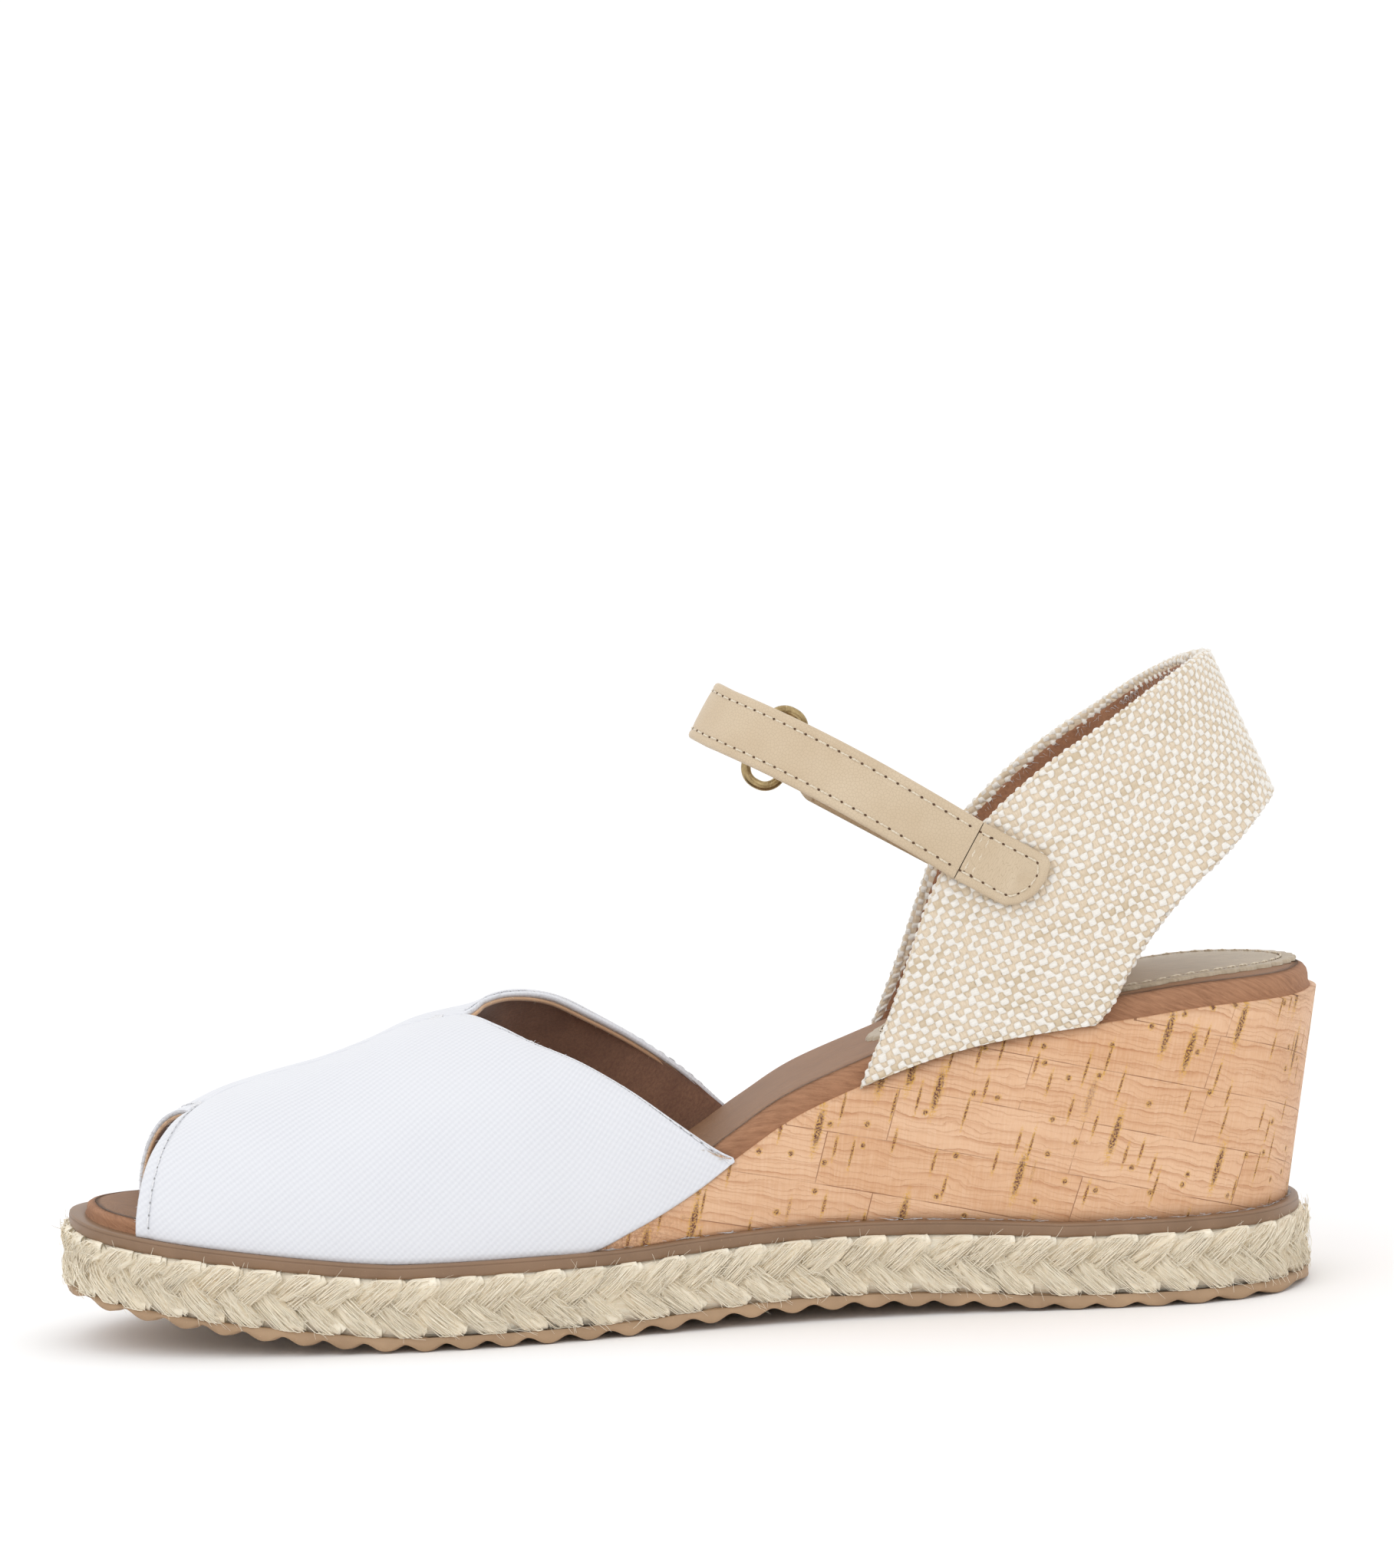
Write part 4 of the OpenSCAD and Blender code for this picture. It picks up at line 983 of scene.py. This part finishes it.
def fray_vamp(fuzz, half):
    """Short fibres of the cloth and of the lining along the raw edges of throat and peep"""
    surface, inward, s, _ = half
    throat = np.where(s >= THROAT_START)[0][:-6]
    for _ in range(int(VAMP_FIBRES * FINE)):
        if rng.random() < 0.62:
            k = rng.choice(throat)
            p, before, after = surface[k, -1], surface[k - 1, -1], surface[min(k + 1, len(s) - 1), -1]
            beyond, normal = unit(p - surface[k, -4]), -inward[k, -2]
        else:
            k = rng.integers(2, surface.shape[1] - 2)
            p, before, after = surface[0, k], surface[0, k - 1], surface[0, k + 1]
            beyond, normal = unit(p - surface[3, k]), -inward[1, k]
        depth = rng.uniform(0.3, 1.9)
        aim = unit(beyond + unit(after - before) * rng.normal(0, 0.6) + normal * rng.normal(0, 0.3))
        hair(fuzz, p - normal * depth - beyond * 0.3, aim, normal, rng.uniform(0.5, 1.3), 0.1,
             rng.normal(0, 0.25), 0.05, slot=int(depth > 1.1))


def make_bartack(name, seam_at, way):
    """Threads laid close together across the seam between the two halves"""
    bar = Shape()
    a = np.linspace(0.93, 1, 9)
    for k in range(9):
        at = seam_at + 0.022 * k * way
        near, far = (vamp_surface(medial, np.array([at, at + 0.02]), a)[0] for medial in (True, False))
        path = np.concatenate([near, far[::-1]])
        path = path[np.abs(path[:, 1]) < 2.7]
        path[:, 2] += rng.uniform(-0.36, -0.24)
        bar.tube(path, 0.2, 6, up=np.array([0, 0, 1.0]), tone=rng.uniform(-1, 1))
    bar.build(name + "_thread", "sandal", [WHITE_THREAD], [name], "white_thread")


def make_vamp():
    thread, hole_shades, fuzz = Shape(), Shape(), Shape()
    for medial in (True, False):
        half = make_vamp_half(medial)
        sew_vamp(thread, hole_shades, half)
        fray_vamp(fuzz, half)
    thread.build("vamp_thread", "sandal", [WHITE_THREAD], ["vamp_stitching"], "white_thread")
    hole_shades.build("vamp_hole_shade_discs", "sandal", [PALE_HOLE_SHADE])
    fuzz.build("vamp_edge_fuzz", "sandal", [WHITE_FUZZ, TAPE])
    make_bartack("peep_bartack", 0.25, 1)
    make_bartack("throat_bartack", 5.6, -1)


# ---- Back strap ----

# Front and rear edge of the band at each station, from the medial foot round the heel to the lateral one
STRAP_STATIONS = [
    [[35.2, -27.3, 45.4], [82, -29, 55.9]], [[43.7, -27.8, 68.3], [85, -29.1, 60.9]],
    [[53, -27.7, 85.6], [88.8, -29.1, 66.6]], [[63.3, -27.4, 97], [93.8, -28.6, 73.6]],
    [[75.3, -27, 106.8], [100.8, -27.2, 81.2]], [[87.4, -25.4, 114.3], [108.3, -23.9, 87.3]],
    [[97.3, -21, 120.5], [114.8, -17.6, 93]], [[105.3, -12, 124.8], [118.9, -9.3, 96.6]],
    [[109.2, 0, 126.3], [120.6, 0, 97.9]], [[105.3, 12.4, 125], [118.9, 9.7, 96.8]],
    [[97.3, 21.4, 121], [114.8, 18, 93.3]], [[87.4, 25.9, 115], [108.3, 24.4, 87.6]],
    [[75.3, 27.6, 107.6], [100.8, 27.9, 81.5]], [[63.3, 28.6, 97.8], [93.8, 29.2, 73.8]],
    [[53, 29.4, 86.2], [88.8, 30, 66.8]], [[43.7, 30.2, 68.6], [85, 30.6, 60.9]],
    [[35.2, 30.6, 45.4], [82, 30.8, 55.9]]]
BAND_T = 2.9
FOLD = 1.4
BAND_ROWS, BAND_COLUMNS, BAND_FIBRES = 62, 150, 900
PATCH_FROM, PATCH_TO = 40 / 3, 14
PATCH_LOOPS, PATCH_HOOKS, TAPE_HALF = 1500, 500, 4.75


def band_surface(k, j):
    """The back strap's outer surface: k along the stations, j from the rear edge to the front edge"""
    m = len(STRAP_STATIONS) - 1
    bare = []
    for i, (front, rear) in enumerate(STRAP_STATIONS):
        front, rear = np.array(front), np.array(rear)
        p = rear + (front - rear) * j[:, None]
        t = max(0, 1 - min(i, m - i) / 2)
        p[:, 2] += t * t * (wedge_top(p[:, 0]) + 0.2 - p[:, 2])
        bare.append(p)
    return spline(np.array(bare), k)


HEEL_BEND_X, HEEL_BEND_R = 85, 31
YARN_PALE, YARN_TAN = (1.35, 0.6), (0.515, -1.24)


def unrolled(p):
    """Distance round the heel in plan, from the middle of the back"""
    quarter = math.pi / 2 * HEEL_BEND_R
    wrap = np.arctan2(p[..., 1], p[..., 0] - HEEL_BEND_X) * HEEL_BEND_R
    straight = np.sign(p[..., 1]) * (quarter + HEEL_BEND_X - p[..., 0])
    return np.where(p[..., 0] > HEEL_BEND_X, wrap, straight)


def weave(l, z):
    """Above 0 where the pale yarn is on top, below 0 where the tan one is"""
    a = (l * YARN_PALE[0] + z * YARN_PALE[1]) / np.hypot(*YARN_PALE) ** 2
    b = (l * YARN_TAN[0] + z * YARN_TAN[1]) / np.hypot(*YARN_TAN) ** 2
    a = a + 0.08 * wobble(l, z, 2.6, 21) + 0.16 * wobble(l, z, 19, 22)
    b = b + 0.08 * wobble(l, z, 2.6, 23) + 0.16 * wobble(l, z, 23, 24)
    slub = 0.12 * wobble(l, z, 3.0, 25)
    return np.cos(math.pi * a) * np.cos(math.pi * b) + slub


def weave_height(w):
    pale = np.clip(w + 0.02, 0, 1.2) ** 0.5
    tan = 0.6 * np.clip(-w - 0.18, 0, 1) ** 0.5
    return np.where(w > -0.1, pale, tan)


def facing_out(grid):
    """Normals of a grid round the heel, away from the foot"""
    out = grid_normals(grid)
    return -out if out[grid.shape[0] // 2, grid.shape[1] // 2, 0] < 0 else out


def rolled_edge(edge_row, next_row, normal, depth):
    """Points that roll from the outer face round one edge and a little way along the inside"""
    tangent = unit(edge_row - next_row)[:, None]
    a = np.linspace(0, math.pi, 9)[1:-1][None, :, None]
    r = depth / 2
    roll = (edge_row[:, None] - normal[:, None] * r + normal[:, None] * r * np.cos(a)
            + tangent * np.minimum(r, 1.2) * np.sin(a) - tangent * 0.4)
    t = np.linspace(0, 1, int(14 * FINE) + 2)[None, :, None]
    back = edge_row[:, None] - normal[:, None] * depth - tangent * (0.4 + FOLD * t)
    return np.concatenate([roll, back], 1)


def cloth_place(full, first, last):
    """Flat place of each point of the linen, carried on in a straight line round its two edges"""
    l, z = unrolled(full), full[..., 2].copy()
    girth = np.cumsum(steps(full, 1), 1)
    for edge_at, inner_at, part in ((first, first + 3, slice(0, first)),
                                    (last, last - 3, slice(last + 1, None))):
        way = unit(np.stack([l[:, edge_at] - l[:, inner_at], z[:, edge_at] - z[:, inner_at]], 1))
        beyond = np.abs(girth[:, part] - girth[:, edge_at: edge_at + 1])
        l[:, part] = l[:, edge_at: edge_at + 1] + way[:, :1] * beyond
        z[:, part] = z[:, edge_at: edge_at + 1] + way[:, 1:] * beyond
    return l, z


def fray_band(body, full, normals):
    fuzz = Shape()
    for _ in range(int(BAND_FIBRES * FINE)):
        i = rng.integers(2, len(body) - 2)
        end = rng.choice([-1, 0])
        tangent = unit(full[i, end] - full[i, end + (3 if end == 0 else -3)])
        way = unit(full[i + 1, end] - full[i - 1, end])
        hair(fuzz, body[i, end], unit(tangent + way * rng.normal(0, 0.7)), normals[i, end],
             rng.uniform(0.5, 1.6), 0.15, rng.normal(0, 0.3), 0.05)
    fuzz.build("back_strap_raw_fibres", "sandal", [WHITE_FUZZ])


def make_band():
    m = len(STRAP_STATIONS) - 1
    columns = int(BAND_COLUMNS * FINE) + 1
    k, j = np.linspace(0, m, int(m * BAND_ROWS * FINE) + 1), np.linspace(0, 1, columns)
    surface = band_surface(k, j)
    out = facing_out(surface)
    thin = np.minimum(1, 0.5 + 0.3 * np.minimum(k, m - k))[:, None, None]
    depth = BAND_T * thin
    front = rolled_edge(surface[:, -1], surface[:, -3], out[:, -2], depth)
    rear = rolled_edge(surface[:, 0], surface[:, 2], out[:, 1], depth)
    full = np.concatenate([rear[:, ::-1], surface, front], 1)
    normals = facing_out(full)
    l, z = cloth_place(full, rear.shape[1], rear.shape[1] + columns - 1)
    w = weave(l, z)
    body = full + normals * (weave_height(w) * 0.55 - 0.4)[..., None] * np.minimum(1, 2 * thin)
    linen = Shape()
    linen.shell(body, full - normals * 0.75 * thin, np.stack([l, z], -1), bead=0.2, tone=w)
    cloth = linen.build("back_strap_linen", "sandal", [LINEN], ["back_strap", "back_strap_foam"], "linen")
    fray_band(body, full, normals)
    lining = Shape()
    inside = slice(None, None, 2), slice(int(columns * 0.04), int(columns * 0.96) + 1, 2)
    face, under = (surface[inside] - out[inside] * (depth[::2] - gap) for gap in (0.05, 0.65))
    lining.shell(face, under, np.stack([unrolled(face), face[..., 2]], -1))
    inner = lining.build("back_strap_suede", "sandal", [STRAP_SUEDE], ["back_strap_lining"],
                         "strap_suede")
    return surface, out, k


def make_loop_patch(surface, out, k):
    """Soft half of the fastener on the lateral face of the back strap"""
    rows = np.where((k >= PATCH_FROM) & (k <= PATCH_TO))[0]
    columns = (np.linspace(0.5, 5 / 6, 14) * (surface.shape[1] - 1)).astype(int)
    grid = surface[np.ix_(rows, columns)]
    normal = out[np.ix_(rows, columns)]
    shape = Shape()
    shape.shell(grid + normal * 0.85, grid + normal * 0.02, grid_uv(grid), bead=0.3)
    for _ in range(int(PATCH_LOOPS * FINE)):
        i, j = rng.integers(0, len(rows)), rng.integers(0, len(columns))
        n = normal[i, j]
        side = unit(np.cross(n, rng.normal(size=3)))
        hair(shape, grid[i, j] + n * 0.75, unit(side + n * 0.4), n, rng.uniform(0.4, 0.9), 0.25,
             rng.normal(0, 0.2), 0.045)
    shape.build("loop_patch_tape", "sandal", [TAPE], ["loop_patch"], "fastener_tape")


# ---- Ankle strap, ring and tab ----

HINGE = np.array([58.5, -29.2, 91.6])
STRAP_SLOPE, STRAP_LEAN = math.radians(31), math.radians(4.5)
STRAP_W, FACE_T, BACK_T, LOOP_W, LOOP_WALL = 12.5, 1.3, 0.8, 9.6, 1.2
HALF_T = (FACE_T + BACK_T) / 2
STRAP_STITCH_INSET = 2.0
STRAP_BOW, BOW_RUN = 1.0, 62
ROUTE_STEPS = 24
BAR_R, LOOP_R = 1.0, 1.1
RING_L, RING_W, CORNER_R, RING_ANGLE = 18.3, 9.8, 3.6, math.radians(14)
FRONT_BAR = np.array([-45.3, 45.5])
REAR_BAR = FRONT_BAR + (RING_W - 2 * BAR_R) * np.array([math.cos(RING_ANGLE), math.sin(RING_ANGLE)])
STRAP_ROUTE = [[0.32, -0.03], [-14, 1.3], [-28, 5.2], [-42, 12.8], [-51.7, 21.5], [-57.3, 31.5], [-55, 40.4],
               [-50.2, 43.9], FRONT_BAR.tolist()]
TAB_ROUTE = [REAR_BAR.tolist(), [-30, 50.4], [-18, 55.5], [-6, 59.8], [6, 62.9], [18, 64.8]]
ANCHOR_EDGE = [[0.4, 6.25], [14.4, 6.25], [15.8, 5.2], [16.4, 2], [15.9, -1.5], [13.9, -4.6],
               [11.4, -6.25], [0.4, -6.25]]

SLOPE_COS, SLOPE_SIN = math.cos(STRAP_SLOPE), math.sin(STRAP_SLOPE)
LEAN_COS, LEAN_SIN = math.cos(STRAP_LEAN), math.sin(STRAP_LEAN)
STRAP_AXES = (np.array([[SLOPE_COS, 0, SLOPE_SIN], [0, 1, 0], [-SLOPE_SIN, 0, SLOPE_COS]])
              @ np.array([[1, 0, 0], [0, LEAN_COS, LEAN_SIN], [0, -LEAN_SIN, LEAN_COS]]))


def from_strap(p):
    return HINGE + np.asarray(p, float) @ STRAP_AXES.T


def strap_bow(s):
    """The near run of the strap is cut a little curved"""
    return STRAP_BOW * np.sin(math.pi * np.clip(s / BOW_RUN, 0, 1))


def ribbon(shape, route, section, bow=False, narrow=None):
    """Sweeps a closed section of (offset, across) pairs along a route in the strap's own plane"""
    path = even(smooth(route, ROUTE_STEPS), 0.5 / FINE)
    normal = unit(np.stack([-np.gradient(path[:, 1]), np.gradient(path[:, 0])], 1))
    s = run_length(path)
    section = np.array(section, float)
    lift = strap_bow(s) if bow else np.zeros(len(s))
    taper = narrowed(s, narrow == "start") if narrow else np.ones(len(s))
    flat = path[:, None] + normal[:, None] * section[None, :, :1]
    z = section[None, :, 1] * taper[:, None] + lift[:, None]
    points = from_strap(np.concatenate([flat, z[..., None]], -1))
    around = run_length(np.concatenate([section, section[:1]]))
    shape.grid(points, pairs(s, around), (False, True), caps=True)
    return path, normal, s


def narrowed(s, at_start):
    """The strap narrows to the width of its loop next to the ring"""
    near = 1 - ramp(s, 1.5, 6.0) if at_start else ramp(s, s[-1] - 7.0, s[-1] - 2.5)
    return 1 - (1 - LOOP_W / STRAP_W) * near


def face_section():
    """Cross-section of the strap's face: rolled edges and a shallow groove along each row of stitches"""
    half, low = STRAP_W / 2, HALF_T - FACE_T
    z = np.array([-half, -half + 0.12, -half + 0.45, -half + 1.0, -half + 1.6, -half + 2.0, -half + 2.4,
                  -half + 3.2, -2, 0])
    h = HALF_T - np.array([0.75, 0.42, 0.12, 0.0, 0.08, 0.2, 0.07, 0.0, -0.03, -0.05])
    z, h = np.concatenate([z, -z[-2::-1]]), np.concatenate([h, h[-2::-1]])
    return np.concatenate([np.stack([h, z], 1), [[low + 0.15, half], [low, half - 0.2],
                                                 [low, -half + 0.2], [low + 0.15, -half]]])


def back_section():
    half, low, high = (STRAP_W - 0.3) / 2, -HALF_T, HALF_T - FACE_T - 0.02
    return [[high, half], [high, -half], [low + 0.2, -half], [low, -half + 0.3], [low, half - 0.3],
            [low + 0.2, half]]


def eye_shell(shape, centre):
    """The loop of strap round one bar of the ring"""
    a = np.linspace(0, 2 * math.pi, 40, endpoint=False)
    half, r0, r1 = LOOP_W / 2, LOOP_R, LOOP_R + LOOP_WALL
    section = [(r0, -half + 0.1), (r0, half - 0.1), (r0 + 0.2, half), (r1 - 0.4, half),
               (r1 - 0.1, half - 0.15), (r1, half - 0.5), (r1, -half + 0.5), (r1 - 0.1, -half + 0.15),
               (r1 - 0.4, -half), (r0 + 0.2, -half)]
    points = np.stack([from_strap(np.stack([centre[0] + r * np.cos(a), centre[1] + r * np.sin(a),
                                            np.full(len(a), z)], -1)) for r, z in section], 1)
    shape.grid(points, pairs(np.linspace(0, 12, 41), np.linspace(0, 22, 11)), (True, True))


def cut_route(route, gap, at_start):
    """A route stopped a little way from the bar it leads to"""
    path = smooth(route, ROUTE_STEPS)
    s = run_length(path)
    path = path[s >= gap if at_start else s <= s[-1] - gap]
    return path[:: max(1, len(path) // 60)]


def sew_strap(name, body, route, bar, at_start, bare_ends, bow):
    """Face with its loop round the ring's bar, backing, and two rows of stitches between the bare ends"""
    face, back, thread, hole_shades = (Shape() for _ in range(4))
    path, normal, s = ribbon(face, cut_route(route, 1.7, at_start), face_section(), bow,
                             "start" if at_start else "end")
    eye_shell(face, bar)
    ribbon(back, cut_route(route, 8.0, at_start), back_section(), bow)
    pick = (s >= bare_ends[0]) & (s <= s[-1] - bare_ends[1])
    lift = strap_bow(s) if bow else np.zeros(len(s))
    for side in (-1, 1):
        z = side * (STRAP_W / 2 - STRAP_STITCH_INSET) + lift
        line = from_strap(np.column_stack([path + normal * (HALF_T - 0.14), z]))[pick]
        out = (np.column_stack([normal, np.zeros(len(s))]) @ STRAP_AXES.T)[pick]
        stitches(thread, hole_shades, line, out, 2.75, 1.95, 0.2, lift=-0.1)
    for shape, part, finish, replaced, slot in (
            (face, "face", LEATHER, [name], "strap_leather"),
            (back, "back", BACKING, [name + "_lining"], "strap_backing"),
            (thread, "thread", TAN_THREAD, [name + "_stitching"], "tan_thread"),
            (hole_shades, "hole_shade_discs", HOLE_SHADE, (), None)):
        shape.build(f"{name}_{part}", body, [finish], replaced, slot)


def make_hook_patch():
    hooks = Shape()
    whole = smooth(TAB_ROUTE, ROUTE_STEPS)
    length = run_length(whole)
    tail = whole[length >= 0.7 * length[-1]]
    tape = tail[:: max(1, len(tail) // 20)]
    path, normal, s = ribbon(
        hooks, tape, [[-HALF_T - 0.02, TAPE_HALF], [-HALF_T - 0.02, -TAPE_HALF],
                      [-HALF_T - 0.75, -TAPE_HALF], [-HALF_T - 0.85, -4.6], [-HALF_T - 0.85, 4.6],
                      [-HALF_T - 0.75, TAPE_HALF]])
    for _ in range(int(PATCH_HOOKS * FINE)):
        i = rng.integers(1, len(s) - 1)
        z = rng.uniform(-4.5, 4.5)
        n = np.append(-normal[i], 0) @ STRAP_AXES.T
        p = from_strap(np.append(path[i] - normal[i] * (HALF_T + 0.6), z))
        hair(hooks, p, unit(n + 0.2 * rng.normal(size=3)), unit(np.cross(n, rng.normal(size=3))), 0.6,
             0.15, 0.05, 0.06)
    hooks.build("hook_patch_tape", "tab", [TAPE], ["hook_patch"], "fastener_tape")


def plate_point(p, offset):
    return from_strap(np.column_stack([p[:, 0], np.full(len(p), offset), p[:, 1]]))


def make_anchor():
    """The end of the strap that is sewn down on the back strap"""
    shape, thread, hole_shades = Shape(), Shape(), Shape()
    outline = even(np.array(ANCHOR_EDGE + ANCHOR_EDGE[:1]), 0.25)[:-1]
    free = outline[:, :1] > 1.2
    for _ in range(3):
        outline = np.where(free, (np.roll(outline, 1, 0) + outline + np.roll(outline, -1, 0)) / 3, outline)
    core = np.column_stack([np.clip(outline[:, 0], 0.4, 10.8), np.full(len(outline), 0.1)])
    rings = []
    for inset, offset in ((6.2, HALF_T - 0.25), (0.15, HALF_T - 0.25), (0, HALF_T - 0.5),
                          (0, -HALF_T + 0.75), (0.12, -HALF_T + 0.42), (0.45, -HALF_T + 0.12),
                          (1.0, -HALF_T), (1.6, -HALF_T + 0.08), (2.0, -HALF_T + 0.18),
                          (2.4, -HALF_T + 0.07), (3.2, -HALF_T), (4.6, -HALF_T - 0.04),
                          (6.2, -HALF_T - 0.04)):
        rings.append(plate_point(core + (outline - core) * (1 - inset / 6.2), offset))
    points = np.stack(rings, 0)
    uv = pairs(np.arange(len(rings)) * 0.5, np.arange(len(outline) + 1) * 0.4)
    shape.grid(points, uv, (False, True))
    shape.build("strap_anchor_face", "sandal", [LEATHER], ["strap_anchor"], "strap_leather", weld=True)
    out = np.array([[0, -1.0, 0]]) @ STRAP_AXES.T
    lines = [[[0.6, 4.25], [6, 4.25], [12.6, 4.25], [13.6, 3.6], [14.3, 1.8], [13.9, -0.9], [12.6, -3.0],
              [10.8, -4.25], [5, -4.25], [0.6, -4.25]], [[1.4, 4.1], [1.4, -4.1]], [[2.9, 4.1], [2.9, -4.1]]]
    for line in lines:
        path = even(smooth(line, 8), 0.4)
        stitches(thread, hole_shades, plate_point(path, -HALF_T + 0.16), np.tile(out, (len(path), 1)),
                 2.5, 1.8, 0.2, lift=-0.05)
    thread.build("anchor_thread", "sandal", [TAN_THREAD], ["anchor_stitching"], "tan_thread")
    hole_shades.build("anchor_hole_shade_discs", "sandal", [HOLE_SHADE])


def make_ring():
    shape = Shape()
    half_x, half_z = (RING_W - 2 * BAR_R) / 2, (RING_L - 2 * BAR_R) / 2
    corners = [(half_x - CORNER_R, half_z - CORNER_R, 0), (-half_x + CORNER_R, half_z - CORNER_R, 90),
               (-half_x + CORNER_R, -half_z + CORNER_R, 180), (half_x - CORNER_R, -half_z + CORNER_R, 270)]
    line = []
    for cx, cz, turn in corners:
        for a in np.radians(np.linspace(turn, turn + 90, 14)):
            line.append([cx + CORNER_R * math.cos(a), cz + CORNER_R * math.sin(a)])
    line = even(np.array(line + line[:1]), 0.5)[:-1]
    ux, uy = math.cos(RING_ANGLE), math.sin(RING_ANGLE)
    mid = (FRONT_BAR + REAR_BAR) / 2
    local = np.column_stack([mid[0] + line[:, 0] * ux, mid[1] + line[:, 0] * uy, line[:, 1]])
    out = unit(np.roll(local, -1, 0) - np.roll(local, 1, 0))
    plane = np.array([-uy, ux, 0])
    side = np.cross(out, plane)
    a = np.linspace(0, 2 * math.pi, 24, endpoint=False)[None, :, None]
    points = from_strap(local[:, None] + BAR_R * (np.cos(a) * side[:, None] + np.sin(a) * plane))
    uv = pairs(np.arange(len(line) + 1) * 0.5, np.linspace(0, 6.3, 25))
    shape.grid(points, uv, (True, True))
    shape.build("oval_ring", "ring", [BRASS], ["ring"], "antique_brass")


make_outsole()
make_welt()
make_jute()
make_cork()
make_footbed()
make_pad()
make_vamp()
band, band_out, band_k = make_band()
make_loop_patch(band, band_out, band_k)
sew_strap("ankle_strap", "strap", STRAP_ROUTE, FRONT_BAR, False, (1.6, 8), True)
sew_strap("tab", "tab", TAB_ROUTE, REAR_BAR, True, (8, 1.5), False)
make_hook_patch()
make_anchor()
make_ring()

for node, finish in {"midsole": RUBBER_FOAM, "wedge_core": CORK_CORE, "shank": STEEL,
                     "insole_board": BOARD, "footbed_foam": FOAM}.items():
    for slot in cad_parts[node].material_slots:
        slot.link = "OBJECT"
        slot.material = finish.material


# ---- Camera, light and floor ----

CAMERA_PLACE = (0.04643, -1.17334, 0.2)
CAMERA_TURN, CAMERA_PITCH, CAMERA_ROLL = 2, 4.638, 3.06
LENS_MM, SENSOR_MM = 135, 36


def make_camera():
    """Long lens from the medial side, a little above and turned slightly"""
    turn, pitch, roll = (math.radians(a) for a in (CAMERA_TURN, CAMERA_PITCH, CAMERA_ROLL))
    look = Vector((-math.sin(turn) * math.cos(pitch), math.cos(turn) * math.cos(pitch), -math.sin(pitch)))
    right = Vector((math.cos(turn), math.sin(turn), 0))
    up = right.cross(look)
    x = math.cos(roll) * right - math.sin(roll) * up
    y = math.sin(roll) * right + math.cos(roll) * up
    camera = bpy.data.objects.new("camera", bpy.data.cameras.new("camera"))
    camera.data.lens = LENS_MM
    camera.data.sensor_width = SENSOR_MM
    camera.matrix_world = Matrix.Translation(Vector(CAMERA_PLACE)) @ Matrix(
        (x, y, -look)).transposed().to_4x4()
    bpy.context.scene.collection.objects.link(camera)
    bpy.context.scene.camera = camera


def area_light(name, place, aim, size, power):
    light = bpy.data.lights.new(name, "AREA")
    light.shape = "RECTANGLE"
    light.size, light.size_y = size
    light.energy = power
    obj = bpy.data.objects.new(name, light)
    obj.location = place
    obj.rotation_euler = (Vector(aim) - Vector(place)).to_track_quat("-Z", "Y").to_euler()
    bpy.context.scene.collection.objects.link(obj)


def make_studio():
    bm = bmesh.new()
    bmesh.ops.create_grid(bm, x_segments=24, y_segments=24, size=20.0)
    mesh = bpy.data.meshes.new("floor")
    bm.to_mesh(mesh)
    bm.free()
    floor = bpy.data.objects.new("floor", mesh)
    floor.location.z = -0.0002
    bpy.context.scene.collection.objects.link(floor)
    paint = solid_finish("floor_paint", (0.93, 0.93, 0.935), (0.95, 0.95, 0.955), 0.002, 0.0, 0.9)
    mesh.materials.append(paint.material)
    world = bpy.data.worlds.new("studio")
    world.use_nodes = True
    world.node_tree.nodes["Background"].inputs["Color"].default_value = (1.0, 1.0, 1.0, 1)
    world.node_tree.nodes["Background"].inputs["Strength"].default_value = 1.08
    bpy.context.scene.world = world
    area_light("key", (-0.9, -1.5, 1.5), (0, 0, 0.05), (1.6, 1.2), 7)
    area_light("fill", (1.3, -1.1, 0.7), (0, 0, 0.05), (1.0, 1.0), 0.8)
    area_light("top", (0.0, 0.4, 1.9), (0, 0, 0), (2.0, 2.0), 2.5)
    bpy.context.scene.view_settings.view_transform = "Standard"


make_camera()
make_studio()
